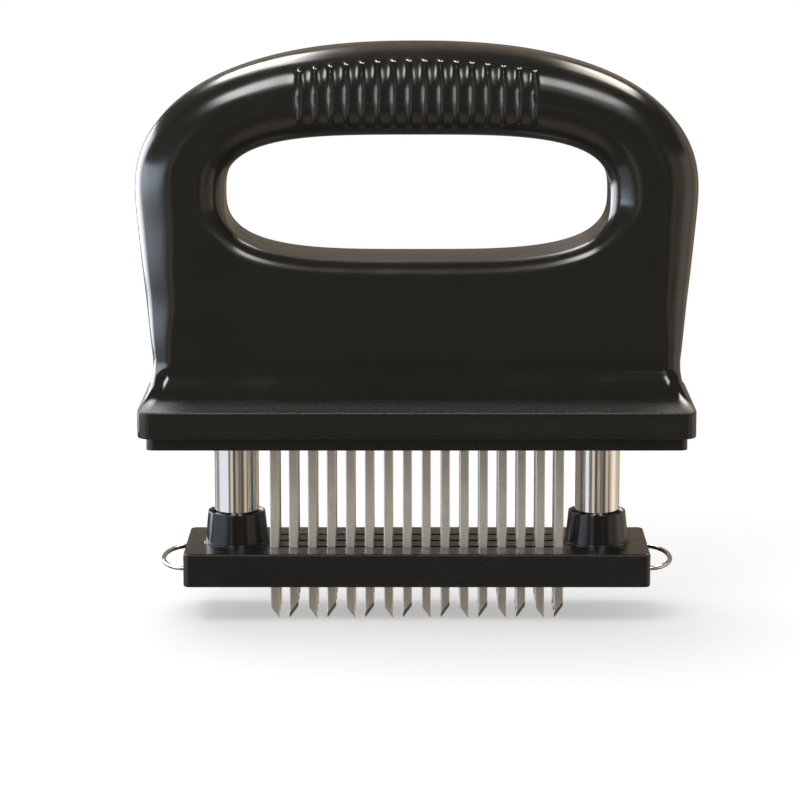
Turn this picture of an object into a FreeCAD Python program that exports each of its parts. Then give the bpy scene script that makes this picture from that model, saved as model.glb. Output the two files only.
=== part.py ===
import FreeCAD, Part
import math
import os

# Blade meat tenderizer with 48 blades, in millimetres.
# X runs along the blade rows, Y from front to back, Z up. The origin lies under the middle of
# the blades, level with their tips, with the guard plate part way up its travel.
# The handle, blades and carrier stay still; the guard plate and its two posts slide along Z.

V = FreeCAD.Vector
X_AXIS = V(1, 0, 0)
Y_AXIS = V(0, 1, 0)
Z_AXIS = V(0, 0, 1)
ORIGIN = V(0, 0, 0)
SIDES = {"left": -1, "right": 1}

# --- levels along Z -----------------------------------------------------------------------------
GUARD_BOTTOM_Z = 10.6       # underside of the guard plate at rest
CARRIER_BOTTOM_Z = 48.4     # underside of the blade carrier
FLANGE_BOTTOM_Z = 51.8      # underside of the handle's flange
FLANGE_HEIGHT = 7.1
FLARE_HEIGHT = 12.1         # concave flare between the flange and the body
ARCH_CENTRE_Z = 114.5       # level of the handle's widest point
HANDLE_TOP_Z = 153.4

# --- handle -------------------------------------------------------------------------------------
HANDLE_WIDTH = 148.0
BODY_DEPTH = 29.0
ARCH_POWER = 2.3            # superellipse power of the arch over the hand
SIDE_TAPER = 0.116          # inward lean of the sides below the arch
TAPER_EASE = 5.0            # distance over which the arch turns into the taper
FLANGE_WIDTH = 147.0
FLANGE_DEPTH = 48.0
FLANGE_CORNER = 3.4
TOP_ROUND = 12.0            # rounding of the body's edge at the top of the grip
SIDE_ROUND = 6.0            # rounding of the same edge where it meets the flare
OPENING_WIDTH = 101.0
OPENING_HEIGHT = 32.2
OPENING_CENTRE_Z = 113.3
OPENING_POWER_X = 3.5
OPENING_POWER_Z = 3.0
OPENING_ROUND = 10.0        # rounding of the opening's lip
WALL = 2.6

# --- grip ribs ----------------------------------------------------------------------------------
RIB_COUNT = 16
RIB_PITCH = 4.06
RIB_WIDTH = 1.9
RIB_RISE = 0.8
RIB_OVER_OPENING = 2.3      # the middle ribs start this far over the opening
RIB_UNDER_TOP = 3.8         # and end this far under the handle's top
RIB_END_DROP = 2.6          # how much lower the outermost rib's top lies
RIB_END_RISE = 1.5          # and how much higher its bottom lies
RIB_ROOT_DEPTH = 9.0        # the ribs stop this far out from the parting plane

# --- blade carrier and clamp plate --------------------------------------------------------------
CARRIER_SEAT_HEIGHT = 8.1   # height of the carrier's block
CARRIER_GAP = 0.1           # clearance between the carrier and the flange's mouth
CARRIER_CORNER = 2.2
GUIDE_HEIGHT = 3.5          # guide tower over the carrier's top
GUIDE_WALL = 2.45
CLAMP_THICKNESS = 2.5
CLAMP_CORNER = 1.5
CLAMP_END_ROOM = 2.2        # the clamp plate reaches this far past the last blade's head
CLAMP_GUIDE_GAP = 0.4       # clearance around the guide towers

# --- blades -------------------------------------------------------------------------------------
BLADE_COUNT = 16
BLADE_PITCH = 5.05
BLADE_WIDTH = 2.4
BLADE_THICKNESS = 0.7
BLADE_TIP_HEIGHT = 3.3      # height of the slanting cut
BLADE_BEVEL = 0.9           # width of the ground bevel, across the slanting edge
HEAD_WIDTH = 3.4
HEAD_HEIGHT = 2.5
BLADE_GAP = 0.05            # clearance around a blade in the carrier
ROW_PITCH = 7.5
ROWS = {"front": -1, "middle": 0, "rear": 1}

# --- posts, springs, rings and washers ----------------------------------------------------------
POST_SPACING = 96.6
POST_DIAMETER = 12.0
POST_BORE = 9.4
POST_FLOOR_Z = 33.0         # floor of the post's spring bore at rest
POST_CHAMFER = 0.6
POST_HEAD = 2.2             # post above its ring groove
SLIDE_GAP = 0.05            # radial running clearance of a post in its guide
TIP_COVER = 1.4             # how far the released guard plate hides the tips
STOP_GAP = 0.1              # room left at each end of the guard's travel
BARREL_BORE = 16.0
BARREL_WALL = 2.0
POST_TOP_ROOM = 0.7         # over the post's top when the guard is fully pressed
WASHER_THICKNESS = 1.5
WASHER_GAP = 0.2
RING_THICKNESS = 1.0
RING_DIAMETER = 14.6
RING_GROOVE_DEPTH = 0.6
RING_GAP = 0.05
RING_MOUTH = 8.0
SPRING_DIAMETER = 8.8
SPRING_WIRE = 1.1
SPRING_TURNS = 13

# --- guard plate --------------------------------------------------------------------------------
GUARD_WIDTH = 123.6
GUARD_DEPTH = 34.0
GUARD_THICKNESS = 9.0
GUARD_CORNER = 1.6
GUARD_EDGE = 1.0            # rounding of the plate's upper and lower edges
COLLAR_HEIGHT = 8.9
COLLAR_TOP_DIAMETER = 15.3
COLLAR_BASE_DIAMETER = 17.0
COLLAR_BEAD = 0.5
COLLAR_LIP = 0.5            # width of the collar's rim round its mouth
COLLAR_MOUTH_DEPTH = 2.2    # depth over which the mouth narrows to the post's bore
SLOT_WIDTH = 1.3
SLOT_END_GAP = 0.5
SEAT_FLOOR = 1.5            # guard material under a post

# --- wire clips ---------------------------------------------------------------------------------
CLIP_WIRE = 1.25
CLIP_GROOVE_DEPTH = 1.1
CLIP_GAP = 0.06             # clearance of the wire in the post's groove
CLIP_SLOT_GAP = 0.15        # clearance of the wire in the guard's slot
CLIP_LOOP_HALF = 13.3       # half the width of the finger loop
CLIP_LOOP_REACH = 6.2       # how far the loop stands out of the guard's end
CLIP_LEG_PAST_POST = 0.2    # how far the legs run past the post's inner side
CLIP_BEND = 2.0
CLIP_BEND_PAST_POST = 1.0   # the legs start to spread this far outside the post

# --- screws -------------------------------------------------------------------------------------
SHELL_SCREW_X = 24.0        # of the lower pair; the upper pair stands in the middle of the arms
SHELL_SCREW_DROP = 13.2     # of the lower pair, under the opening
SHELL_BOSS = 7.2
SHELL_SCREW_LENGTH = 15.0
SHELL_SCREW_SEAT_Y = 6.0
CARRIER_SCREW_INSET = 6.3   # from the carrier's end
CARRIER_SCREW_Y = 11.0
CARRIER_BOSS = 7.0
CARRIER_BOSS_HEIGHT = 9.0
CARRIER_SCREW_LENGTH = 12.0
CARRIER_SCREW_SINK = 2.4
CLAMP_SCREW_INSET = 4.9     # from the middle of a row's last blade
CLAMP_SCREW_OUT = 2.9       # outside the outer rows
CLAMP_RIM = 2.6             # clamp plate outside its screws
CLAMP_SCREW_LENGTH = 6.4
SCREW_DIAMETER = 2.8
SCREW_HEAD = 5.4
SCREW_HEAD_HEIGHT = 2.0
CLAMP_SCREW_DIAMETER = 2.4
CLAMP_SCREW_HEAD = 4.2
SCREW_GAP = 0.15            # clearance around a shank and a sunk head
PILOT_GAP = 0.05            # around a shank in the hole that stands for its thread
PILOT_ROOM = 0.5            # past a screw's point
BOSS_ROOF = 1.0             # plastic over a carrier boss's hole
DOME_SHARE = 0.4            # rounded share of a head's height
POINT_SHARE = 0.25          # width of a screw's point, of its diameter
DRIVE_SHARE = 0.6           # length of the cross drive, of the head's diameter
DRIVE_WIDTH = 0.6
DRIVE_DEPTH = 1.1

# --- sizes that follow from the ones above ------------------------------------------------------
FLANGE_TOP_Z = FLANGE_BOTTOM_Z + FLANGE_HEIGHT
FLARE_TOP_Z = FLANGE_TOP_Z + FLARE_HEIGHT
CARRIER_TOP_Z = CARRIER_BOTTOM_Z + CARRIER_SEAT_HEIGHT
GUIDE_TOP_Z = CARRIER_TOP_Z + GUIDE_HEIGHT
CHANNEL_FLOOR_Z = CARRIER_TOP_Z - HEAD_HEIGHT
GUARD_TOP_Z = GUARD_BOTTOM_Z + GUARD_THICKNESS
COLLAR_TOP_Z = GUARD_TOP_Z + COLLAR_HEIGHT
RELEASE_TRAVEL = GUARD_BOTTOM_Z + TIP_COVER
PRESS_TRAVEL = CARRIER_BOTTOM_Z - COLLAR_TOP_Z - STOP_GAP
POST_BOTTOM_Z = GUARD_BOTTOM_Z + SEAT_FLOOR
WASHER_TOP_Z = GUIDE_TOP_Z + WASHER_THICKNESS
RING_BOTTOM_Z = WASHER_TOP_Z + RELEASE_TRAVEL + STOP_GAP
POST_TOP_Z = RING_BOTTOM_Z + RING_THICKNESS + POST_HEAD
BARREL_TOP_Z = POST_TOP_Z + PRESS_TRAVEL + POST_TOP_ROOM
CLIP_Z = GUARD_BOTTOM_Z + GUARD_THICKNESS / 2
POST_RADIUS = POST_DIAMETER / 2
POST_X = POST_SPACING / 2
GUIDE_RADIUS = POST_RADIUS + GUIDE_WALL
ROW_HALF = (BLADE_COUNT - 1) * BLADE_PITCH / 2
CARRIER_WIDTH = FLANGE_WIDTH - 2 * (WALL + CARRIER_GAP)
CARRIER_DEPTH = FLANGE_DEPTH - 2 * (WALL + CARRIER_GAP)
CARRIER_SCREW_X = CARRIER_WIDTH / 2 - CARRIER_SCREW_INSET
CLAMP_SCREW_X = ROW_HALF - CLAMP_SCREW_INSET
CLAMP_SCREW_Y = ROW_PITCH + CLAMP_SCREW_OUT
ARM_MIDDLE_X = (HANDLE_WIDTH + OPENING_WIDTH) / 4
OPENING_FLOOR_Z = OPENING_CENTRE_Z - OPENING_HEIGHT / 2
OPENING_ROOF_Z = OPENING_CENTRE_Z + OPENING_HEIGHT / 2
CLIP_GROOVE_RADIUS = POST_RADIUS - CLIP_GROOVE_DEPTH
CLIP_LEG_Y = CLIP_GROOVE_RADIUS + CLIP_GAP + CLIP_WIRE / 2
CLIP_SLOT_HALF = CLIP_WIRE / 2 + CLIP_SLOT_GAP
CLIP_BEND_X = POST_X + POST_RADIUS + CLIP_BEND_PAST_POST
CLIP_SLOT_START_X = POST_X - POST_RADIUS - CLIP_LEG_PAST_POST - 2 * CLIP_SLOT_GAP

# X and Z of the screws between the shells
SHELL_SCREW_PLACES = [(side * x, z) for side in SIDES.values()
                      for x, z in ((SHELL_SCREW_X, OPENING_FLOOR_Z - SHELL_SCREW_DROP),
                                   (ARM_MIDDLE_X, OPENING_CENTRE_Z))]

OUTLINE_STEPS = 18          # points along each stretch of a formula curve
FLARE_SECTIONS = 5
LEAST_CORNER = 0.8
NEAR = 0.01                 # for picking edges by their level


def box(x_range, y_range, z_range):
    """A box between two corners."""
    size = [high - low for low, high in (x_range, y_range, z_range)]
    return Part.makeBox(*size, V(x_range[0], y_range[0], z_range[0]))


def upright(radius, x, y, bottom, top):
    """A vertical cylinder."""
    return Part.makeCylinder(radius, top - bottom, V(x, y, bottom), Z_AXIS)


def spread(count, pitch):
    """Places of a centred row."""
    return [(n - (count - 1) / 2) * pitch for n in range(count)]


def ring_of(corner):
    """A closed level wire from the corner curve at +X and -Y, repeated at the other corners."""
    across = corner.mirror(ORIGIN, X_AXIS)
    curves = [corner, corner.mirror(ORIGIN, Y_AXIS), across.mirror(ORIGIN, Y_AXIS), across]
    ends = []
    for curve in curves:
        both = (curve.Vertexes[0].Point, curve.Vertexes[-1].Point)
        ends.append(sorted(both, key=lambda point: abs(point.y)))
    sides = [Part.makeLine(ends[0][0], ends[1][0]), Part.makeLine(ends[1][1], ends[2][1]),
             Part.makeLine(ends[2][0], ends[3][0]), Part.makeLine(ends[3][1], ends[0][1])]
    return Part.Wire([edge for pair in zip(curves, sides) for edge in pair])


def rounded_rectangle(half_x, half_y, radius, z):
    """A closed wire, level at z, of four sides and four corner arcs."""
    circle = Part.Circle(V(half_x - radius, radius - half_y, z), Z_AXIS, radius)
    return ring_of(Part.Edge(circle, math.radians(270), math.radians(360)))


def rounded_block(half_x, half_y, radius, bottom, top):
    """An upright block with rounded corners."""
    return Part.Face(rounded_rectangle(half_x, half_y, radius, bottom)).extrude(V(0, 0, top - bottom))


def curve_through(points, first_tangent, last_tangent):
    """One smooth edge through points."""
    curve = Part.BSplineCurve()
    curve.interpolate(Points=points, InitialTangent=first_tangent, FinalTangent=last_tangent)
    return curve.toShape()


# --- handle -------------------------------------------------------------------------------------

def side_lean(z):
    """How far the body's side lies inside its widest point, at a level under the arch."""
    below = ARCH_CENTRE_Z - z
    return SIDE_TAPER * (math.hypot(below, TAPER_EASE) - TAPER_EASE)


def side_slope(z):
    """Rate at which the side moves outward with height."""
    below = ARCH_CENTRE_Z - z
    return SIDE_TAPER * below / math.hypot(below, TAPER_EASE)


def arch_edge(inset):
    """The body's outer edge for X over 0, from the flare's top up to the middle of the grip."""
    half_width = HANDLE_WIDTH / 2 - inset
    rise = HANDLE_TOP_Z - ARCH_CENTRE_Z - inset
    points = []
    for n in range(OUTLINE_STEPS):
        z = FLARE_TOP_Z + (ARCH_CENTRE_Z - FLARE_TOP_Z) * n / OUTLINE_STEPS
        points.append(V(half_width - side_lean(z), 0, z))
    for n in range(OUTLINE_STEPS + 1):
        angle = math.pi / 2 * n / OUTLINE_STEPS
        x = half_width * abs(math.cos(angle)) ** (2 / ARCH_POWER) if n < OUTLINE_STEPS else 0
        points.append(V(x, 0, ARCH_CENTRE_Z + rise * math.sin(angle) ** (2 / ARCH_POWER)))
    return curve_through(points, V(side_slope(FLARE_TOP_Z), 0, 1), V(-1, 0, 0))


def opening_edge(inset):
    """The opening's edge for X over 0, from the middle of its floor up to the middle of its roof."""
    half_x = OPENING_WIDTH / 2 + inset
    half_z = OPENING_HEIGHT / 2 + inset
    points = []
    for n in range(2 * OUTLINE_STEPS + 1):
        angle = math.pi * (n / (2 * OUTLINE_STEPS) - 0.5)
        x = half_x * abs(math.cos(angle)) ** (2 / OPENING_POWER_X) if 0 < n < 2 * OUTLINE_STEPS else 0
        z = math.copysign(half_z * abs(math.sin(angle)) ** (2 / OPENING_POWER_Z), angle)
        points.append(V(x, 0, OPENING_CENTRE_Z + z))
    return curve_through(points, V(1, 0, 0), V(-1, 0, 0))


def body_quarter(inset):
    """The body over the flare, for X over 0 and Y under 0, shrunk all round by inset."""
    arch = arch_edge(inset)
    lip = opening_edge(inset)
    depth = BODY_DEPTH / 2 - inset
    corner = V(0, 0, FLARE_TOP_Z)
    ends = [curve.valueAt(at) for curve in (arch, lip) for at in curve.ParameterRange]
    arch_low, arch_high, lip_low, lip_high = ends
    wire = Part.Wire([arch, Part.makeLine(arch_high, lip_high), lip,
                      Part.makeLine(lip_low, corner), Part.makeLine(corner, arch_low)])
    solid = Part.Face(wire).extrude(V(0, -depth, 0))
    front = [edge for edge in solid.Edges
             if abs(edge.BoundBox.YMax + depth) < 1e-3 and abs(edge.BoundBox.YMin + depth) < 1e-3
             and isinstance(edge.Curve, Part.BSplineCurve)]
    outer, inner = sorted(front, key=lambda edge: -edge.BoundBox.XMax)
    rises = outer.valueAt(outer.FirstParameter).z < outer.valueAt(outer.LastParameter).z
    rounds = (SIDE_ROUND - inset, TOP_ROUND - inset)
    solid = solid.makeFillet(*(rounds if rises else rounds[::-1]), [outer])
    inner = min(solid.Edges, key=lambda edge: (edge.CenterOfMass - inner.CenterOfMass).Length)
    return solid.makeFillet(OPENING_ROUND - inset, [inner])


def body_half(inset):
    """The body over the flare, in front of the parting plane."""
    quarter = body_quarter(inset)
    return quarter.fuse(quarter.mirror(ORIGIN, X_AXIS))


def flare_size(z):
    """Half width, half depth and corner radius of the flare at a level."""
    down = FLARE_TOP_Z - z
    share = down / FLARE_HEIGHT

    def grown(reach):
        radius = (FLARE_HEIGHT ** 2 + reach ** 2) / (2 * reach)
        return radius - math.sqrt(radius ** 2 - down ** 2)

    lean = HANDLE_WIDTH / 2 - side_lean(z)
    side_reach = FLANGE_WIDTH / 2 - (HANDLE_WIDTH / 2 - side_lean(FLANGE_TOP_Z))
    corner = SIDE_ROUND + (FLANGE_CORNER - SIDE_ROUND) * share
    return lean + grown(side_reach), BODY_DEPTH / 2 + grown((FLANGE_DEPTH - BODY_DEPTH) / 2), corner


def body_foot(quarter):
    """The outline of the body where it stands on the flare."""
    level = [edge for edge in quarter.Edges if edge.BoundBox.ZMax < FLARE_TOP_Z + 1e-6]
    return ring_of(max(level, key=lambda edge: min(edge.BoundBox.XLength, edge.BoundBox.YLength)))


def base_block(inset, foot):
    """Flare and flange under the body's foot, shrunk at the sides by inset."""
    sections = []
    for n in range(FLARE_SECTIONS):
        z = FLANGE_TOP_Z + FLARE_HEIGHT * n / FLARE_SECTIONS
        half_x, half_y, corner = flare_size(z)
        corner = max(corner - inset, LEAST_CORNER)
        sections.append(rounded_rectangle(half_x - inset, half_y - inset, corner, z))
    flare = Part.makeLoft(sections + [foot], True)
    flange = Part.Face(sections[0]).extrude(V(0, 0, -FLANGE_HEIGHT))
    return flare.fuse(flange)


def handle_block(inset):
    """Body, flare and flange in front of the parting plane, shrunk all round by inset."""
    quarter = body_quarter(inset)
    base = base_block(inset, body_foot(quarter))
    reach = HANDLE_WIDTH
    front = base.common(box((-reach, reach), (-reach, 0), (-reach, reach)))
    return quarter.fuse([quarter.mirror(ORIGIN, X_AXIS), front])


def grip_ribs():
    """The upright ribs with round ends across the front of the grip."""
    slabs = []
    radius = RIB_WIDTH / 2
    for x in spread(RIB_COUNT, RIB_PITCH):
        out = (x / (RIB_PITCH * (RIB_COUNT - 1) / 2)) ** 2
        low = OPENING_ROOF_Z + RIB_OVER_OPENING + RIB_END_RISE * out + radius
        high = HANDLE_TOP_Z - RIB_UNDER_TOP - RIB_END_DROP * out - radius
        slab = box((x - radius, x + radius), (-BODY_DEPTH, -RIB_ROOT_DEPTH), (low, high))
        ends = [Part.makeCylinder(radius, BODY_DEPTH - RIB_ROOT_DEPTH, V(x, -RIB_ROOT_DEPTH, z), -Y_AXIS)
                for z in (low, high)]
        slabs.append(slab.fuse(ends).removeSplitter())
    return Part.makeCompound(slabs).common(body_half(-RIB_RISE))


def shell_bosses():
    """Screw bosses of one half shell, each from the parting plane to its front wall."""
    depth = BODY_DEPTH / 2 - WALL / 2
    return [Part.makeCylinder(SHELL_BOSS / 2, depth, V(x, 0, z), -Y_AXIS) for x, z in SHELL_SCREW_PLACES]


def carrier_bosses():
    """Bosses over the carrier, for the screws that hold it."""
    return [upright(CARRIER_BOSS / 2, side * CARRIER_SCREW_X, -CARRIER_SCREW_Y,
                    CARRIER_TOP_Z, CARRIER_TOP_Z + CARRIER_BOSS_HEIGHT) for side in SIDES.values()]


def handle_front_half():
    """One half of the handle, hollow, with its barrels and bosses."""
    outer, cavity = handle_block(0), handle_block(WALL)
    barrel_radius = BARREL_BORE / 2 + BARREL_WALL
    barrels = [upright(barrel_radius, side * POST_X, 0, GUIDE_TOP_Z, BARREL_TOP_Z + WALL)
               for side in SIDES.values()]
    inner = Part.makeCompound(barrels + shell_bosses() + carrier_bosses())
    shell = outer.cut(cavity).fuse(inner.common(outer))
    holes = []
    for side in SIDES.values():
        holes.append(upright(BARREL_BORE / 2, side * POST_X, 0, GUIDE_TOP_Z, BARREL_TOP_Z))
        holes.append(upright(SCREW_DIAMETER / 2 + PILOT_GAP, side * CARRIER_SCREW_X, -CARRIER_SCREW_Y,
                             CARRIER_TOP_Z, CARRIER_TOP_Z + CARRIER_BOSS_HEIGHT - BOSS_ROOF))
    return shell.fuse(grip_ribs()).cut(Part.makeCompound(holes))


def handle_shells():
    """The front shell with pilot holes, and the rear shell with sunk screw holes."""
    half = handle_front_half()
    pilot_depth = SHELL_SCREW_LENGTH - SHELL_SCREW_SEAT_Y + PILOT_ROOM
    pilots = [Part.makeCylinder(SCREW_DIAMETER / 2 + PILOT_GAP, pilot_depth, V(x, 0, z), -Y_AXIS)
              for x, z in SHELL_SCREW_PLACES]
    shank, head = SCREW_DIAMETER / 2 + SCREW_GAP, SCREW_HEAD / 2 + SCREW_GAP
    holes = []
    for x, z in SHELL_SCREW_PLACES:
        holes.append(Part.makeCylinder(shank, BODY_DEPTH, V(x, 0, z), Y_AXIS))
        holes.append(Part.makeCylinder(head, BODY_DEPTH, V(x, SHELL_SCREW_SEAT_Y, z), Y_AXIS))
    front = half.cut(Part.makeCompound(pilots))
    rear = half.mirror(ORIGIN, Y_AXIS).cut(Part.makeCompound(holes))
    return front, rear


# --- screws -------------------------------------------------------------------------------------

def screw(diameter, head, length, head_height=SCREW_HEAD_HEIGHT):
    """A pan head screw with a cross drive, its head's underside at the origin, its shank along -Z."""
    tip = diameter / 2
    dome = Part.makeCylinder(head / 2, head_height)
    rim = [edge for edge in dome.Edges if edge.CenterOfMass.z > head_height - NEAR]
    dome = dome.makeFillet(head_height * DOME_SHARE, rim)
    shank = Part.makeCylinder(diameter / 2, length - tip, V(0, 0, tip - length))
    point = Part.makeCone(diameter / 2 * POINT_SHARE, diameter / 2, tip, V(0, 0, -length))
    arm = head / 2 * DRIVE_SHARE
    top = (head_height - DRIVE_DEPTH, head_height)
    half = DRIVE_WIDTH / 2
    drive = box((-arm, arm), (-half, half), top).fuse(box((-half, half), (-arm, arm), top))
    return dome.fuse([shank, point]).cut(drive).removeSplitter()


def placed(shape, place, axis=Z_AXIS):
    """A copy of shape with its +Z turned to axis, moved to place."""
    copy = shape.copy()
    copy.Placement = FreeCAD.Placement(place, FreeCAD.Rotation(Z_AXIS, axis))
    return copy


def handle_screws():
    """Four screws from the rear that hold the shells together."""
    one = screw(SCREW_DIAMETER, SCREW_HEAD, SHELL_SCREW_LENGTH)
    return Part.makeCompound([placed(one, V(x, SHELL_SCREW_SEAT_Y, z), Y_AXIS)
                              for x, z in SHELL_SCREW_PLACES])


def carrier_screws():
    """Four screws from below that hold the carrier in the handle."""
    one = screw(SCREW_DIAMETER, SCREW_HEAD, CARRIER_SCREW_LENGTH)
    seat = CARRIER_BOTTOM_Z + CARRIER_SCREW_SINK
    return Part.makeCompound([placed(one, V(x, y, seat), -Z_AXIS)
                              for x in (-CARRIER_SCREW_X, CARRIER_SCREW_X)
                              for y in (-CARRIER_SCREW_Y, CARRIER_SCREW_Y)])


def clamp_screw_places():
    """X and Y of the clamp plate's screws."""
    return [(x, y) for x in (-CLAMP_SCREW_X, CLAMP_SCREW_X) for y in (-CLAMP_SCREW_Y, CLAMP_SCREW_Y)]


def clamp_screws():
    """Four screws that hold the clamp plate on the blade heads."""
    one = screw(CLAMP_SCREW_DIAMETER, CLAMP_SCREW_HEAD, CLAMP_SCREW_LENGTH)
    seat = CARRIER_TOP_Z + CLAMP_THICKNESS
    return Part.makeCompound([placed(one, V(x, y, seat)) for x, y in clamp_screw_places()])


# --- blades, carrier and clamp plate ------------------------------------------------------------

def blade():
    """One blade with a T head, in the plane Y = 0, its tip at +X and ground on its rear face."""
    half, head, half_thick = BLADE_WIDTH / 2, HEAD_WIDTH / 2, BLADE_THICKNESS / 2
    corners = [(half, 0), (half, CHANNEL_FLOOR_Z), (head, CHANNEL_FLOOR_Z), (head, CARRIER_TOP_Z),
               (-head, CARRIER_TOP_Z), (-head, CHANNEL_FLOOR_Z), (-half, CHANNEL_FLOOR_Z),
               (-half, BLADE_TIP_HEIGHT)]
    outline = Part.makePolygon([V(x, -half_thick, z) for x, z in corners + corners[:1]])
    strip = Part.Face(outline).extrude(V(0, BLADE_THICKNESS, 0))
    along = V(-BLADE_WIDTH, 0, BLADE_TIP_HEIGHT).normalize()
    up = V(BLADE_TIP_HEIGHT, 0, BLADE_WIDTH).normalize()
    edge = V(half, 0, 0) - along * BLADE_WIDTH
    front, rear = V(0, -half_thick, 0), V(0, half_thick, 0)
    wedge = Part.makePolygon([edge + front, edge + rear, edge + rear + up * BLADE_BEVEL, edge + front])
    return strip.cut(Part.Face(wedge).extrude(along * 4 * BLADE_WIDTH))


def blade_rows():
    """The three rows, every second blade turned round."""
    one = blade()
    turned = one.copy()
    turned.rotate(ORIGIN, Z_AXIS, 180)
    rows = {}
    for name, row in ROWS.items():
        blades = []
        for n, x in enumerate(spread(BLADE_COUNT, BLADE_PITCH)):
            copy = (turned if n % 2 else one).copy()
            copy.translate(V(x, row * ROW_PITCH, 0))
            blades.append(copy)
        rows["blade_row_" + name] = Part.makeCompound(blades)
    return rows


def blade_carrier():
    """The plate that closes the handle, holds the blades and guides the posts."""
    plate = rounded_block(CARRIER_WIDTH / 2, CARRIER_DEPTH / 2, CARRIER_CORNER,
                          CARRIER_BOTTOM_Z, CARRIER_TOP_Z)
    towers = [upright(GUIDE_RADIUS, side * POST_X, 0, CARRIER_TOP_Z, GUIDE_TOP_Z)
              for side in SIDES.values()]
    cuts = [upright(POST_RADIUS + SLIDE_GAP, side * POST_X, 0, CARRIER_BOTTOM_Z, GUIDE_TOP_Z)
            for side in SIDES.values()]
    half_x = BLADE_WIDTH / 2 + BLADE_GAP
    half_y = BLADE_THICKNESS / 2 + BLADE_GAP
    channel = ROW_HALF + HEAD_WIDTH / 2 + BLADE_GAP
    for row in ROWS.values():
        y = row * ROW_PITCH
        cuts.append(box((-channel, channel), (y - half_y, y + half_y), (CHANNEL_FLOOR_Z, CARRIER_TOP_Z)))
        for x in spread(BLADE_COUNT, BLADE_PITCH):
            cuts.append(box((x - half_x, x + half_x), (y - half_y, y + half_y),
                            (CARRIER_BOTTOM_Z, CHANNEL_FLOOR_Z)))
    for x in (-CARRIER_SCREW_X, CARRIER_SCREW_X):
        for y in (-CARRIER_SCREW_Y, CARRIER_SCREW_Y):
            cuts.append(upright(SCREW_DIAMETER / 2 + SCREW_GAP, x, y, CARRIER_BOTTOM_Z, CARRIER_TOP_Z))
            cuts.append(upright(SCREW_HEAD / 2 + SCREW_GAP, x, y, CARRIER_BOTTOM_Z,
                                CARRIER_BOTTOM_Z + CARRIER_SCREW_SINK))
    pilot_bottom = CARRIER_TOP_Z + CLAMP_THICKNESS - CLAMP_SCREW_LENGTH - PILOT_ROOM
    for x, y in clamp_screw_places():
        cuts.append(upright(CLAMP_SCREW_DIAMETER / 2 + PILOT_GAP, x, y, pilot_bottom, CARRIER_TOP_Z))
    return plate.fuse(towers).cut(Part.makeCompound(cuts))


def blade_clamp_plate():
    """The steel plate over the blade heads, hollowed at its ends around the guide towers."""
    half_x = ROW_HALF + HEAD_WIDTH / 2 + CLAMP_END_ROOM
    above = CARRIER_TOP_Z + CLAMP_THICKNESS
    plate = rounded_block(half_x, CLAMP_SCREW_Y + CLAMP_RIM, CLAMP_CORNER, CARRIER_TOP_Z, above)
    cuts = [upright(GUIDE_RADIUS + CLAMP_GUIDE_GAP, side * POST_X, 0, CARRIER_TOP_Z, above)
            for side in SIDES.values()]
    cuts += [upright(CLAMP_SCREW_DIAMETER / 2 + SCREW_GAP, x, y, CARRIER_TOP_Z, above)
             for x, y in clamp_screw_places()]
    return plate.cut(Part.makeCompound(cuts))


# --- posts and what is on them ------------------------------------------------------------------

def ring_around(outer, inner, x, bottom, top):
    """A flat ring around a post's axis."""
    return upright(outer, x, 0, bottom, top).cut(upright(inner, x, 0, bottom, top))


def post(x):
    """A hollow post: spring bore from its top, ring groove near its top, clip groove near its foot."""
    body = upright(POST_RADIUS, x, 0, POST_BOTTOM_Z, POST_TOP_Z)
    ends = [edge for edge in body.Edges if isinstance(edge.Curve, Part.Circle)]
    body = body.makeChamfer(POST_CHAMFER, ends)
    bore = upright(POST_BORE / 2, x, 0, POST_FLOOR_Z, POST_TOP_Z)
    ring_groove = ring_around(POST_DIAMETER, POST_RADIUS - RING_GROOVE_DEPTH, x,
                              RING_BOTTOM_Z - RING_GAP, RING_BOTTOM_Z + RING_THICKNESS + RING_GAP)
    clip_groove = ring_around(POST_DIAMETER, CLIP_GROOVE_RADIUS, x,
                              CLIP_Z - CLIP_SLOT_HALF, CLIP_Z + CLIP_SLOT_HALF)
    return body.cut([bore, ring_groove, clip_groove])


def retaining_ring(x):
    """The split ring that stops a post from sliding out of the handle."""
    ring = ring_around(RING_DIAMETER / 2, POST_RADIUS - RING_GROOVE_DEPTH + RING_GAP, x,
                       RING_BOTTOM_Z, RING_BOTTOM_Z + RING_THICKNESS)
    mouth = box((x - RING_MOUTH / 2, x + RING_MOUTH / 2), (-RING_DIAMETER, 0),
                (RING_BOTTOM_Z, RING_BOTTOM_Z + RING_THICKNESS))
    return ring.cut(mouth)


def stop_washer(x):
    """The washer on the guide tower, where the retaining ring lands."""
    return ring_around(BARREL_BORE / 2 - WASHER_GAP, POST_RADIUS + WASHER_GAP, x,
                       GUIDE_TOP_Z, WASHER_TOP_Z)


def spring(x):
    """A compression spring from the post's floor to the barrel's roof."""
    wire = SPRING_WIRE / 2
    height = BARREL_TOP_Z - POST_FLOOR_Z - SPRING_WIRE
    radius = SPRING_DIAMETER / 2 - wire
    helix = Part.makeHelix(height / SPRING_TURNS, height, radius)
    section = Part.Wire(Part.makeCircle(wire, V(radius, 0, 0), Y_AXIS))
    coil = Part.Wire(helix).makePipeShell([section], True, True)
    coil.translate(V(x, 0, POST_FLOOR_Z + wire))
    return coil


# --- guard plate and clips ----------------------------------------------------------------------

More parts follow.
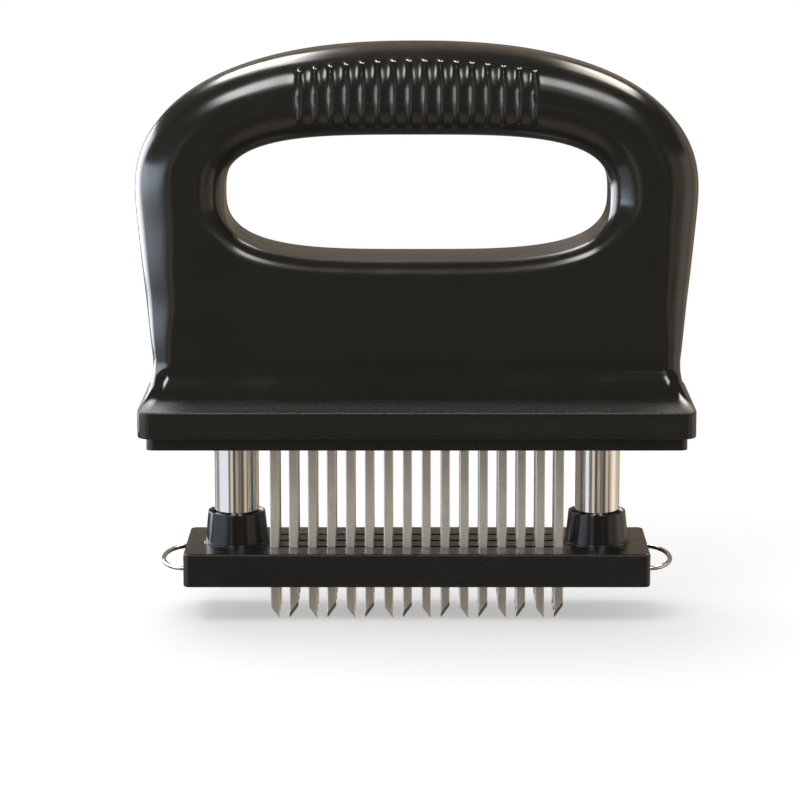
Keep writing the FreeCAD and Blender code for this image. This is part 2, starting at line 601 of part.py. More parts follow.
def guard_plate():
    """The slotted plate that lies on the meat, with a collar for each post."""
    half_x, half_y = GUARD_WIDTH / 2, GUARD_DEPTH / 2
    plate = rounded_block(half_x, half_y, GUARD_CORNER, GUARD_BOTTOM_Z, GUARD_TOP_Z)
    plate = plate.makeFillet(GUARD_EDGE, [edge for edge in plate.Edges if edge.BoundBox.ZLength < NEAR])
    collars = []
    base, top = COLLAR_BASE_DIAMETER / 2, COLLAR_TOP_DIAMETER / 2
    for side in SIDES.values():
        foot = V(side * POST_X, 0, GUARD_TOP_Z)
        collars.append(Part.makeCone(base, top, COLLAR_HEIGHT, foot))
        collars.append(Part.makeCone(base + COLLAR_BEAD, base, COLLAR_BEAD, foot))
    cuts = []
    slot_half = ROW_HALF + BLADE_WIDTH / 2 + SLOT_END_GAP
    for row in ROWS.values():
        y = row * ROW_PITCH
        cuts.append(box((-slot_half, slot_half), (y - SLOT_WIDTH / 2, y + SLOT_WIDTH / 2),
                        (GUARD_BOTTOM_Z, COLLAR_TOP_Z)))
    level = (CLIP_Z - CLIP_SLOT_HALF, CLIP_Z + CLIP_SLOT_HALF)
    bore, mouth = POST_RADIUS + SLIDE_GAP, top - COLLAR_LIP
    narrow, wide = CLIP_LEG_Y + CLIP_SLOT_HALF, CLIP_LOOP_HALF + CLIP_SLOT_HALF
    for side in SIDES.values():
        cuts.append(upright(bore, side * POST_X, 0, POST_BOTTOM_Z, COLLAR_TOP_Z))
        foot = V(side * POST_X, 0, COLLAR_TOP_Z - COLLAR_MOUTH_DEPTH)
        cuts.append(Part.makeCone(bore, mouth, COLLAR_MOUTH_DEPTH, foot))
        for start, stop, reach in ((CLIP_SLOT_START_X, CLIP_BEND_X, narrow),
                                   (CLIP_BEND_X - CLIP_BEND, half_x, wide)):
            cuts.append(box(sorted((side * start, side * stop)), (-reach, reach), level))
    return plate.fuse(collars).cut(Part.makeCompound(cuts))


def clip(side):
    """A wire clip: two legs in the post's groove and a finger loop outside the guard's end."""
    inner_x = POST_X - POST_RADIUS - CLIP_LEG_PAST_POST
    end_x = GUARD_WIDTH / 2
    leg, loop = CLIP_LEG_Y, CLIP_LOOP_HALF
    route = [V(inner_x, -leg, 0), V(CLIP_BEND_X, -leg, 0),
             V(end_x - CLIP_BEND, -loop, 0), V(end_x, -loop, 0)]
    near = bent(route, CLIP_BEND)
    ellipse = Part.Ellipse(V(end_x, loop, 0), V(end_x + CLIP_LOOP_REACH, 0, 0), V(end_x, 0, 0))
    bow = Part.ArcOfEllipse(ellipse, 0, math.pi).toShape()
    if bow.CenterOfMass.x < end_x:
        bow = bow.mirror(V(end_x, 0, 0), X_AXIS)
    far = [edge.mirror(ORIGIN, Y_AXIS) for edge in reversed(near)]
    path = Part.Wire(near + [bow] + far)
    section = Part.Wire(Part.makeCircle(CLIP_WIRE / 2, route[0], X_AXIS))
    wire = path.makePipeShell([section], True, True)
    wire.translate(V(0, 0, CLIP_Z))
    return wire if side > 0 else wire.mirror(ORIGIN, X_AXIS)


def bent(points, radius):
    """Edges along points, with an arc of radius at each inner point."""
    edges, start = [], points[0]
    for before, corner, after in zip(points, points[1:], points[2:]):
        into, out = (corner - before).normalize(), (after - corner).normalize()
        turn = into.getAngle(out)
        back = radius * math.tan(turn / 2)
        centre = corner + (out - into).normalize() * (radius / math.cos(turn / 2))
        middle = centre + (corner - centre).normalize() * radius
        edges.append(Part.makeLine(start, corner - into * back))
        edges.append(Part.Arc(corner - into * back, middle, corner + out * back).toShape())
        start = corner + out * back
    edges.append(Part.makeLine(start, points[-1]))
    return edges


def pieces():
    """Every node of the part with its shape."""
    front, rear = handle_shells()
    nodes = {"handle_front_shell": front, "handle_rear_shell": rear, "handle_screws": handle_screws(),
             "blade_carrier": blade_carrier(), "carrier_screws": carrier_screws(),
             "blade_clamp_plate": blade_clamp_plate(), "clamp_screws": clamp_screws(),
             "guard_plate": guard_plate()}
    nodes.update(blade_rows())
    for name, side in SIDES.items():
        x = side * POST_X
        nodes["post_" + name] = post(x)
        nodes["spring_" + name] = spring(x)
        nodes["retaining_ring_" + name] = retaining_ring(x)
        nodes["stop_washer_" + name] = stop_washer(x)
        nodes["clip_" + name] = clip(side)
    return nodes


def main():
    os.makedirs("parts", exist_ok=True)
    for name, shape in pieces().items():
        print(f"{name:22s} solids {len(shape.Solids):2d}  valid {shape.isValid()}  {shape.Volume:9.2f} mm3")
        shape.exportStep(f"parts/{name}.step")
    print(f"guard travel: {-RELEASE_TRAVEL:.2f} released to {PRESS_TRAVEL:.2f} pressed")


main()
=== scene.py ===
"""Blade meat tenderizer: the visible surfaces and finishes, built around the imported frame.

Lengths are in metres. X runs along the rows of blades, Y from front to back, and Z up from the
tips of the blades. The handle, the blades and their carrier stand still; the guard plate slides
along Z on two posts, and two wire clips pull out of its ends.
"""

from __future__ import annotations

import logging
import math
from dataclasses import dataclass, field
from enum import Enum
from typing import Any, Mapping, Sequence

import bpy
import numpy as np
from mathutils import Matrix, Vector
from mathutils.geometry import tessellate_polygon

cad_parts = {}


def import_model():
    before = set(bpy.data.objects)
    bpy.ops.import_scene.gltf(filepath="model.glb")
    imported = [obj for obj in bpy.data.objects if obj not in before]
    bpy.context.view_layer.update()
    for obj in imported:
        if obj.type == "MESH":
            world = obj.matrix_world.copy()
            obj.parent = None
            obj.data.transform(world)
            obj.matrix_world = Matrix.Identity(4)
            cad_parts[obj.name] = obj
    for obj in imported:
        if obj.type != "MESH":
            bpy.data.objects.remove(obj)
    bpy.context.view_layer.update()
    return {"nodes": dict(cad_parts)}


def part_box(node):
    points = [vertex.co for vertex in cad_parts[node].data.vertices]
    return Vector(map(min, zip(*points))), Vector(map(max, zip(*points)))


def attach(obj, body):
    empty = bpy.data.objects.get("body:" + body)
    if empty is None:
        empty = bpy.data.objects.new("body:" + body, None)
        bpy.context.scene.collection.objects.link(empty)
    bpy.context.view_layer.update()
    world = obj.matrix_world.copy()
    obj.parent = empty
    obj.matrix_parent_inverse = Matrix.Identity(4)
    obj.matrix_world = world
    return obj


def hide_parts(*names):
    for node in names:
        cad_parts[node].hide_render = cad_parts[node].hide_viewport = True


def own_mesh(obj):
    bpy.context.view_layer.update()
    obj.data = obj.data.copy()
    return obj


LOG = logging.getLogger("blade_meat_tenderizer")
MM = 0.001
WELD = 1e-7  # metres within which points are made one
LOOSE_WELD = 1e-6  # the same between surfaces that were made apart
WELD_SHIFT = 0.137  # share of a weld step that keeps round sizes off its bounds
TINY_AREA = 1e-15  # square metres, twice the area of a triangle too small to keep
NEAR = 1e-9  # metres that count as none
DENSE = 4001  # points of a quarter curve before it is resampled
OVERRUN = 1.0 * MM  # how far a cut goes past the plastic
SMOOTH_UNDER = 35.0  # degrees between two faces that still look like one
MIX_LOW, MIX_HIGH, MIX_COLOUR = 6, 7, 2  # places of a Mix node's colour sockets
WHITE = (1.0, 1.0, 1.0)

Pair = tuple[float, float]
Triple = tuple[float, float, float]
Colour = Triple
Stations = tuple[Pair, ...]  # a share of the way and the value there
Turn = tuple[tuple[float, ...], tuple[int, ...]]  # angles in degrees and the steps between them


class Side(Enum):
    """The two ends of the tool, with the sign of X there."""

    LEFT = -1
    RIGHT = 1


# --- surfaces -----------------------------------------------------------------------------------


@dataclass
class Surface:
    """Points and four-cornered faces of a surface; a face with a repeated corner is a triangle."""

    points: np.ndarray
    faces: np.ndarray

    @staticmethod
    def grid(points: np.ndarray, closed: bool = False) -> Surface:
        """A surface over a grid of points.

        Args:
            points: Rows by columns by three coordinates.
            closed: Whether the last column joins the first.

        Returns:
            The surface, whose faces point along (next column) x (next row).
        """
        rows, columns = points.shape[:2]
        index = np.arange(rows * columns).reshape(rows, columns)
        if closed:
            index = np.concatenate([index, index[:, :1]], axis=1)
        corners = [index[:-1, :-1], index[:-1, 1:], index[1:, 1:], index[1:, :-1]]
        return Surface(points.reshape(-1, 3), np.stack(corners, axis=-1).reshape(-1, 4))

    @staticmethod
    def joined(parts: Sequence[Surface]) -> Surface:
        """Several surfaces as one, with their points kept apart."""
        starts = np.cumsum([0] + [len(part.points) for part in parts[:-1]])
        faces = [part.faces + start for part, start in zip(parts, starts)]
        return Surface(np.concatenate([part.points for part in parts]), np.concatenate(faces))

    def flipped(self) -> Surface:
        """The same surface, facing the other way."""
        return Surface(self.points, self.faces[:, ::-1])

    def scaled(self, factors: Sequence[float]) -> Surface:
        """The surface with its coordinates multiplied, facing outwards also where mirrored."""
        changed = Surface(self.points * np.asarray(factors, float), self.faces)
        return changed.flipped() if np.prod(factors) < 0 else changed

    def moved(self, offset: Sequence[float]) -> Surface:
        """The surface moved by an offset."""
        return Surface(self.points + np.asarray(offset, float), self.faces)

    def weld(self, tolerance: float = WELD) -> tuple[Surface, np.ndarray, np.ndarray]:
        """Makes the points that coincide one.

        Args:
            tolerance: Points that round to the same multiple of it are one point. The multiples are
                shifted by a share of it, so that round sizes don't lie between two of them.

        Returns:
            The welded surface, the old point that each new one keeps, and the new point of each
            old one.
        """
        keys = np.round(self.points / tolerance + WELD_SHIFT).astype(np.int64)
        _, first, inverse = np.unique(keys, axis=0, return_index=True, return_inverse=True)
        inverse = inverse.reshape(-1)
        return Surface(self.points[first], inverse[self.faces]), first, inverse

    def welded(self) -> Surface:
        """The surface with each place held by one point."""
        return self.weld(LOOSE_WELD)[0]

    def open_edges(self) -> np.ndarray:
        """The directed edges that only one face has."""
        starts, ends = self.faces, np.roll(self.faces, -1, axis=1)
        edges = np.stack([starts, ends], axis=-1).reshape(-1, 2)
        edges = edges[edges[:, 0] != edges[:, 1]]
        _, inverse, counts = np.unique(np.sort(edges, axis=1), axis=0, return_inverse=True,
                                       return_counts=True)
        return edges[counts[inverse.reshape(-1)] == 1]

    def walled(self, inner: np.ndarray, standing: np.ndarray) -> Surface:
        """A closed wall between this open surface and a coarser inner side.

        Args:
            inner: The place of each point's partner on the wall's inner side.
            standing: For each point the one whose partner the inner side uses.

        Returns:
            Outer side, inner side and the rim between them.
        """
        count = len(self.points)
        rim = self.open_edges()
        partner = standing + count
        strip = np.stack([rim[:, 1], rim[:, 0], partner[rim[:, 0]], partner[rim[:, 1]]], axis=1)
        faces = np.concatenate([self.faces, partner[self.faces[:, ::-1]], strip])
        return Surface(np.concatenate([self.points, inner]), faces)

    def trimmed(self) -> Surface:
        """The surface without the points that no face has."""
        first, second, third, fourth = self.faces.T
        polygon = self.faces[(first != third) & (second != fourth)]
        used, faces = np.unique(polygon, return_inverse=True)
        return Surface(self.points[used], faces.reshape(polygon.shape))

    def polygons(self) -> list[list[int]]:
        """The faces as lists of corners, without repeated corners and empty faces."""
        repeated = self.faces == np.roll(self.faces, -1, axis=1)
        crossed = (self.faces[:, 0] == self.faces[:, 2]) | (self.faces[:, 1] == self.faces[:, 3])
        count = repeated.sum(axis=1)
        quads = self.faces[(count == 0) & ~crossed]
        thin = (count == 1) & ~crossed
        triangles = self.faces[thin][~repeated[thin]].reshape(-1, 3)
        return quads.tolist() + triangles.tolist()


def resampled(points: np.ndarray, count: int) -> np.ndarray:
    """A polyline's points at equal steps of its length.

    Args:
        points: The polyline, one point a row.
        count: The number of steps.

    Returns:
        count + 1 points, the ends included.
    """
    length = np.concatenate([[0], np.cumsum(np.linalg.norm(np.diff(points, axis=0), axis=1))])
    at = np.linspace(0, length[-1], count + 1)
    return np.column_stack([np.interp(at, length, coordinate) for coordinate in points.T])


def spaced(ends: Sequence[float], counts: Sequence[int]) -> np.ndarray:
    """Angles in radians that divide each stretch between ends in degrees into equal steps."""
    runs = [np.linspace(start, stop, count, endpoint=False)
            for start, stop, count in zip(ends, ends[1:], counts)]
    return np.radians(np.concatenate(runs + [[ends[-1]]]))


def thinned(rows: int, columns: int, steps: tuple[int, int]) -> np.ndarray:
    """A coarser grid on a grid's own points.

    Args:
        rows: The grid's rows.
        columns: Its columns.
        steps: The rows and columns of points that one point stands for.

    Returns:
        For each point the one that stands for it. The points on the border stand for themselves.
    """
    index = np.arange(rows * columns).reshape(rows, columns)
    inner_row = np.clip(np.arange(rows) // steps[0] * steps[0], 1, rows - 2)
    inner_column = np.clip(np.arange(columns) // steps[1] * steps[1], 1, columns - 2)
    found = index[inner_row][:, inner_column]
    found[[0, -1]] = index[[0, -1]]
    found[:, [0, -1]] = index[:, [0, -1]]
    return found.reshape(-1)


def revolved(profile: np.ndarray, centre: Sequence[float], segments: int) -> Surface:
    """A profile turned about a vertical axis: (r, z) goes to (r cos t, r sin t, z) for t all round.

    Args:
        profile: Radius and height of each point, running so that the outside is on its right.
        centre: A point of the axis; its Z is added to the heights.
        segments: The number of steps round.

    Returns:
        The surface, open where the profile's ends are off the axis.
    """
    turn = np.linspace(0, 2 * np.pi, segments, endpoint=False)
    ring = np.stack([np.cos(turn), np.sin(turn)], axis=1)
    level = profile[:, None, 0, None] * ring[None]
    heights = np.broadcast_to(profile[:, None, 1:2], level.shape[:2] + (1,))
    return Surface.grid(np.concatenate([level, heights], axis=2), closed=True).moved(centre)


def arc(centre: Sequence[float], radius: float, start: float, end: float, count: int) -> np.ndarray:
    """Points of a circle's arc in a plane, angles in degrees, both ends included."""
    turn = np.radians(np.linspace(start, end, count + 1))
    return np.stack([centre[0] + radius * np.cos(turn), centre[1] + radius * np.sin(turn)], axis=1)


def rounded_outline(half_x: float, half_y: float, corner: float, count: int) -> np.ndarray:
    """A rectangle with rounded corners, anticlockwise from the corner at +X and -Y.

    Args:
        half_x: Half its length along X.
        half_y: Half its length along Y.
        corner: The corners' radius.
        count: The steps of each corner arc.

    Returns:
        Its points, with the first not repeated at the end.
    """
    x, y = half_x - corner, half_y - corner
    arcs = [arc((x, -y), corner, -90, 0, count), arc((x, y), corner, 0, 90, count),
            arc((-x, y), corner, 90, 180, count), arc((-x, -y), corner, 180, 270, count)]
    return np.concatenate(arcs)


def raised(outline: np.ndarray, z: np.ndarray | float) -> np.ndarray:
    """An outline's points with a height, or with a height of their own each."""
    return np.column_stack([outline, np.broadcast_to(z, len(outline))])


def flat_face(loops: Sequence[np.ndarray], z: float, up: bool) -> Surface:
    """A level face inside its first loop and outside the others.

    Args:
        loops: X and Y of each loop's points.
        z: The face's height.
        up: Whether it faces up.

    Returns:
        The face as triangles.
    """
    points = np.concatenate([raised(loop, z) for loop in loops])
    found = tessellate_polygon([[Vector((x, y, 0)) for x, y in loop] for loop in loops])
    corners = np.array(found, int)
    first, second, third = (points[corners[:, n], :2] for n in range(3))
    area = np.cross(second - first, third - first)
    kept = np.abs(area) > TINY_AREA
    corners, wrong = corners[kept], (area[kept] > 0) != up
    corners[wrong] = corners[wrong][:, ::-1]
    return Surface(points, np.column_stack([corners, corners[:, 2]]))


def tube(path: np.ndarray, radius: float, sides: int) -> Surface:
    """A round wire along a path with closed ends.

    Each ring stands across the path, turned from the ring before it by as little as possible.

    Args:
        path: The points of the wire's middle line.
        radius: The wire's radius.
        sides: The corners of a ring.

    Returns:
        The wire, closed by a point at each end.
    """
    along = np.gradient(path, axis=0)
    along /= np.linalg.norm(along, axis=1, keepdims=True)
    start = np.eye(3)[np.argmin(np.abs(along[0]))]
    across = np.empty_like(path)
    for n, direction in enumerate(along):
        start = start - direction * (start @ direction)
        start = start / np.linalg.norm(start)
        across[n] = start
    other = np.cross(along, across)
    turn = np.linspace(0, 2 * np.pi, sides, endpoint=False)[None, :, None]
    out = across[:, None] * np.cos(turn) + other[:, None] * np.sin(turn)
    rings = path[:, None] + radius * out
    first = np.broadcast_to(path[:1, None], (1, sides, 3))
    last = np.broadcast_to(path[-1:, None], (1, sides, 3))
    return Surface.grid(np.concatenate([first, rings, last]), closed=True)


def placed(name: str, data: Any) -> bpy.types.Object:
    """A new object in the scene with its mesh, lamp or camera data."""
    made = bpy.data.objects.new(name, data)
    bpy.context.scene.collection.objects.link(made)
    return made


def smooth(mesh: bpy.types.Mesh, sharp: float) -> None:
    """Shades a mesh smooth, but for edges over an angle in degrees."""
    mesh.polygons.foreach_set("use_smooth", np.ones(len(mesh.polygons), bool))
    mesh.set_sharp_from_angle(angle=math.radians(sharp))


def piece(name: str, parts: Sequence[tuple[Surface, Finish]],
          sharp: float = SMOOTH_UNDER) -> bpy.types.Object:
    """A Blender object made of surfaces, smooth but for its sharp edges.

    Args:
        name: The piece's name.
        parts: Its surfaces, facing outwards, each with its finish.
        sharp: The least angle between two faces, in degrees, that shows as an edge.

    Returns:
        The object, at the origin.
    """
    mesh = bpy.data.meshes.new(name)
    solid = Surface.joined([surface for surface, _ in parts]).welded()
    polygons, slots, start = [], [], 0
    for number, (surface, finish) in enumerate(parts):
        found = Surface(solid.points, solid.faces[start:start + len(surface.faces)]).polygons()
        polygons += found
        slots += [number] * len(found)
        start += len(surface.faces)
        mesh.materials.append(finish.material())
    mesh.from_pydata(solid.points.tolist(), [], polygons)
    mesh.polygons.foreach_set("material_index", slots)
    smooth(mesh, sharp)
    mesh.update()
    return placed(name, mesh)


def carve(target: bpy.types.Object, cutters: Sequence[Surface], crossing: bool = False) -> None:
    """Cuts closed surfaces out of a piece.

    Args:
        target: The piece, a closed mesh.
        cutters: The closed surfaces, facing outwards.
        crossing: Whether some of the surfaces cross each other.
    """
    solid = Surface.joined(cutters).welded()
    mesh = bpy.data.meshes.new("cutter")
    mesh.from_pydata(solid.points.tolist(), [], solid.polygons())
    cutter = placed("cutter", mesh)
    modifier = target.modifiers.new("cut", "BOOLEAN")
    modifier.operation, modifier.solver, modifier.object = "DIFFERENCE", "EXACT", cutter
    modifier.use_self = crossing
    finished = target.evaluated_get(bpy.context.evaluated_depsgraph_get())
    target.data = bpy.data.meshes.new_from_object(finished)
    target.modifiers.clear()
    smooth(target.data, SMOOTH_UNDER)
    bpy.data.objects.remove(cutter)


def block(low: Sequence[float], high: Sequence[float]) -> Surface:
    """A closed box between two corners."""
    x, y, z = zip(low, high)
    ring = np.array([(x[0], y[0]), (x[1], y[0]), (x[1], y[1]), (x[0], y[1])])
    rows = np.stack([raised(ring, level) for level in z])
    return Surface.joined([Surface.grid(rows, closed=True), flat_face([ring], z[0], up=False),
                           flat_face([ring], z[1], up=True)])


def weigh_normals(target: bpy.types.Object, weight: int = 90) -> None:
    """Makes large faces rule the shading at their edges, so that flats look flat."""
    modifier = target.modifiers.new("flats", "WEIGHTED_NORMAL")
    modifier.keep_sharp, modifier.weight = True, weight


# --- materials ----------------------------------------------------------------------------------


class Graph:
    """A material or world being made of nodes."""

    def __init__(self, tree: bpy.types.NodeTree) -> None:
        """Starts on an emptied node tree."""
        self.tree = tree
        tree.nodes.clear()

    def node(self, kind: str, settings: Mapping[str, Any] | None = None,
             sockets: Mapping[str | int, Any] | None = None) -> bpy.types.Node:
        """Adds a node.

        Args:
            kind: Its type.
            settings: Its properties, which are set first.
            sockets: The number, colour or link of each input, by name or place.

        Returns:
            The node.
        """
        made = self.tree.nodes.new(kind)
        for name, value in (settings or {}).items():
            setattr(made, name, value)
        for name, value in (sockets or {}).items():
            if isinstance(value, Value):
                value = value.socket
            if isinstance(value, bpy.types.NodeSocket):
                self.tree.links.new(value, made.inputs[name])
            else:
                made.inputs[name].default_value = value
        return made

    def value(self, kind: str, settings: Mapping[str, Any] | None = None,
              sockets: Mapping[str | int, Any] | None = None, output: str | int = 0) -> Value:
        """Adds a node and returns one of its outputs as a value."""
        return Value(self, self.node(kind, settings, sockets).outputs[output])

    def place(self) -> bpy.types.NodeSocket:
        """The point's place in the part's own frame."""
        return self.node("ShaderNodeTexCoord").outputs["Object"]

    def parts(self, vector: bpy.types.NodeSocket) -> list[Value]:
        """X, Y and Z of a vector."""
        return [Value(self, part) for part in
                self.node("ShaderNodeSeparateXYZ", None, {0: vector}).outputs]

    def noise(self, size: float, detail: float = 2.0, stretch: Triple = (1.0, 1.0, 1.0),
              roughness: float = 0.55) -> Value:
        """Noise from 0 to 1.

        Args:
            size: The size of its blotches in metres.
            detail: Its number of octaves.
            stretch: How much longer the blotches are along each axis.
            roughness: The strength of each octave as a share of the one before.

        Returns:
            The noise.
        """
        scale = tuple(1.0 / (size * factor) for factor in stretch)
        place = self.node("ShaderNodeMapping", {"vector_type": "POINT"},
                          {"Vector": self.place(), "Scale": scale}).outputs[0]
        return self.value("ShaderNodeTexNoise", {"noise_dimensions": "3D"},
                          {"Vector": place, "Scale": 1.0, "Detail": detail,
                           "Roughness": roughness})

    def blend(self, factor: Value | float, low: Any, high: Any,
              kind: str = "MIX") -> bpy.types.NodeSocket:
        """A colour between two by a factor, or another kind of mixture of them."""
        sockets = {0: factor, MIX_LOW: rgba(low), MIX_HIGH: rgba(high)}
        made = self.node("ShaderNodeMix", {"data_type": "RGBA", "blend_type": kind}, sockets)
        return made.outputs[MIX_COLOUR]

    def step(self, value: Value, start: float, end: float) -> Value:
        """0 under start and 1 over end, with a smooth rise between."""
        return self.value("ShaderNodeMapRange", {"interpolation_type": "SMOOTHSTEP"},
                          {"Value": value, "From Min": start, "From Max": end})

    def bump(self, height: Value, distance: float) -> bpy.types.NodeSocket:
        """A normal tilted by a height that runs from 0 to 1 over a distance in metres."""
        sockets = {"Height": height, "Distance": distance}
        return self.node("ShaderNodeBump", None, sockets).outputs[0]

    def shader(self, kind: str, colour: Any, strength: Any = None) -> bpy.types.NodeSocket:
        """A shader of one colour, with a strength where it glows."""
        sockets = {"Color": rgba(colour)}
        if strength is not None:
            sockets["Strength"] = strength
        return self.node(kind, None, sockets).outputs[0]

    def choose(self, factor: Any, first: Any, second: Any) -> bpy.types.NodeSocket:
        """A shader between two by a factor."""
        return self.node("ShaderNodeMixShader", None, {0: factor, 1: first, 2: second}).outputs[0]

    def end(self, shader: bpy.types.NodeSocket, kind: str = "Material") -> None:
        """Links a shader to the output of the material, or of another kind of tree."""
        self.node(f"ShaderNodeOutput{kind}", None, {"Surface": shader})


class Value:
    """A number in a node tree, whose operators add Math nodes."""

    def __init__(self, graph: Graph, socket: bpy.types.NodeSocket) -> None:
        """Wraps a socket."""
        self.graph = graph
        self.socket = socket

    def _math(self, operation: str, first: Any, second: Any) -> Value:
        """A Math node on two values."""
        return self.graph.value("ShaderNodeMath", {"operation": operation}, {0: first, 1: second})

    def __add__(self, other: Any) -> Value:
        """Sum."""
        return self._math("ADD", self, other)

    def __radd__(self, other: Any) -> Value:
        """Sum."""
        return self._math("ADD", other, self)

    def __sub__(self, other: Any) -> Value:
        """Difference."""
        return self._math("SUBTRACT", self, other)

    def __rsub__(self, other: Any) -> Value:
        """Difference, the other way round."""
        return self._math("SUBTRACT", other, self)

    def __mul__(self, other: Any) -> Value:
        """Product."""
        return self._math("MULTIPLY", self, other)

    def __rmul__(self, other: Any) -> Value:
        """Product."""
        return self._math("MULTIPLY", other, self)

    def __truediv__(self, other: Any) -> Value:
        """Quotient."""
        return self._math("DIVIDE", self, other)

    def apply(self, operation: str, other: Any = 0.0) -> Value:
        """Another Math function of this value, and of a second one where it takes two."""
        return self._math(operation, self, other)


def rgba(value: Any) -> Any:
    """A colour with its alpha, or the link as it is."""
    return (*value, 1.0) if isinstance(value, tuple) else value


def toned(colour: Colour, factor: float, lift: float = 0.0) -> Colour:
    """A colour with its parts multiplied and lifted."""
    return tuple(factor * part + lift for part in colour)


def new_material(name: str) -> tuple[bpy.types.Material, Graph]:
    """A new material and its node tree, emptied."""
    made = bpy.data.materials.new(name)
    made.use_nodes = True
    return made, Graph(made.node_tree)


@dataclass(frozen=True)
class Finish:
    """A surface finish, made into a material once."""

    name: str

    def material(self) -> bpy.types.Material:
        """The finish's material, which all its pieces share."""
        name = f"{self.name}_finish"
        made = bpy.data.materials.get(name)
        if made is None:
            made, graph = new_material(name)
            shader = graph.node("ShaderNodeBsdfPrincipled", None, self.sockets(graph))
            graph.end(shader.outputs[0])
        return made

    def sockets(self, graph: Graph) -> dict[str, Any]:
        """The values and links of the shader's sockets."""
        raise NotImplementedError


@dataclass(frozen=True)
class MouldedPlastic(Finish):
    """Injection moulded plastic: a fine spark grain, and handling marks that change its gloss.

    A size is that of a noise's blotches, and a pair holds the noise's values between which a mark
    comes up. A gloss is how far the roughness swings with a noise. The last five say what the
    grades do: the white painted into the coarse grain's specks as glints where it catches light,
    its added depth, and the change of roughness where the grain is coarse, dull or polished.
    """

    colour: Colour
    roughness: float
    refraction: float = 1.49
    grain_size: float = 0.25 * MM
    grain_depth: float = 0.0012 * MM
    grain_gloss: float = 0.05
    smudge_size: float = 14.0 * MM
    smudge_between: Pair = (0.35, 0.75)
    smudge: float = 0.06
    cloud_size: float = 45.0 * MM
    # painted glints: specks of the coarse grain whitened in the colour as if catching light
    cloud_tone: Pair = (1.35, 0.0015)
    glint_size: float = 0.55 * MM
    glint_between: Pair = (0.30, 0.75)
    painted_glint_lift: float = 0.075
    coarse_depth: float = 7.0
    coarse_rough: float = 0.30
    dull_rough: float = 0.13
    polish_smooth: float = 0.10

    def grades(self, graph: Graph) -> tuple[Value | float, Value | float, Value | float]:
        """How far a coarse matt grain, which also carries painted glints, a smoother polish and a
        duller one show, from 0 to 1.
        """
        return 0.0, 0.0, 0.0

    def sockets(self, graph: Graph) -> dict[str, Any]:
        """Colour varies with clouds and with painted glints in the coarse grain; gloss varies with
        the handling marks, and the grain tilts the normal.
        """
        grain = graph.noise(self.grain_size, detail=3.0)
        marks = graph.step(graph.noise(self.smudge_size, detail=4.0), *self.smudge_between)
        matt, polished, dull = self.grades(graph)
        lighter = toned(self.colour, *self.cloud_tone)
        cloudy = graph.blend(graph.noise(self.cloud_size), self.colour, lighter)
        # Painted glints: specks of the coarse grain get white lifted into the colour where grain
        # catches light.
        painted_glints = matt * graph.step(graph.noise(self.glint_size), *self.glint_between)
        painted_glint_colour = toned(self.colour, 1.0, self.painted_glint_lift)
        gloss = (marks - 0.5) * self.smudge + (grain - 0.5) * self.grain_gloss
        graded = (matt * self.coarse_rough + dull * self.dull_rough
                  - polished * self.polish_smooth)
        return {"Base Color": graph.blend(painted_glints, cloudy, painted_glint_colour),
                "Roughness": self.roughness + gloss + graded,
                "IOR": self.refraction,
                "Normal": graph.bump(grain * (1.0 + matt * self.coarse_depth), self.grain_depth)}


@dataclass(frozen=True)
class ShellPlastic(MouldedPlastic):
    """The shells' plastic: coarse, with painted glints, low on the flare, polished over it, and
    dull on the opening's floor.

    Each tuple of four holds the heights where a grade starts, is full, starts to fade and is gone.
    The dull grade ends at a width and a depth too, each given as where it starts to fade and where
    it is gone.
    """

    coarse: tuple[float, ...] = (58.4 * MM, 58.8 * MM, 59.3 * MM, 61.8 * MM)
    polished: tuple[float, ...] = (61.2 * MM, 62.5 * MM, 69.0 * MM, 74.0 * MM)
    dulled: tuple[float, ...] = (88.0 * MM, 90.0 * MM, 102.0 * MM, 106.0 * MM)
    dulled_width: Pair = (51.0 * MM, 55.0 * MM)
    dulled_depth: Pair = (12.6 * MM, 13.4 * MM)

    def grades(self, graph: Graph) -> tuple[Value | float, Value | float, Value | float]:
        """1 between a grade's middle two heights, falling smoothly to 0 at the outer two."""
        across, depth, height = graph.parts(graph.place())
        matt, polished, dull = (
            graph.step(height, low, full) * (1 - graph.step(height, fading, gone))
            for low, full, fading, gone in (self.coarse, self.polished, self.dulled))
        for value, (near, far) in ((across, self.dulled_width), (depth, self.dulled_depth)):
            dull = dull * (1 - graph.step(value.apply("ABSOLUTE"), near, far))
        return matt, polished, dull


@dataclass(frozen=True)
class DrawnSteel(Finish):
    """Bright steel with fine drawing lines along one axis.

    variation and cloud_gloss are how far the roughness swings with the lines and with the clouds.
    """

    colour: Colour
    roughness: float
    line_size: float = 0.12 * MM
    stretch: Triple = (1.0, 1.0, 60.0)
    line_depth: float = 0.0012 * MM
    variation: float = 0.10
    cloud_size: float = 9.0 * MM
    cloud_tone: float = 0.86
    cloud_gloss: float = 0.04

    def sockets(self, graph: Graph) -> dict[str, Any]:
        """The lines change the gloss and tilt the normal; slow clouds change the colour."""
        lines = graph.noise(self.line_size, stretch=self.stretch)
        cloud = graph.noise(self.cloud_size, detail=3.0)
        gloss = (lines - 0.5) * self.variation + (cloud - 0.5) * self.cloud_gloss
        return {"Base Color": graph.blend(cloud, toned(self.colour, self.cloud_tone), self.colour),
                "Metallic": 1.0,
                "Roughness": self.roughness + gloss,
                "Normal": graph.bump(lines, self.line_depth)}


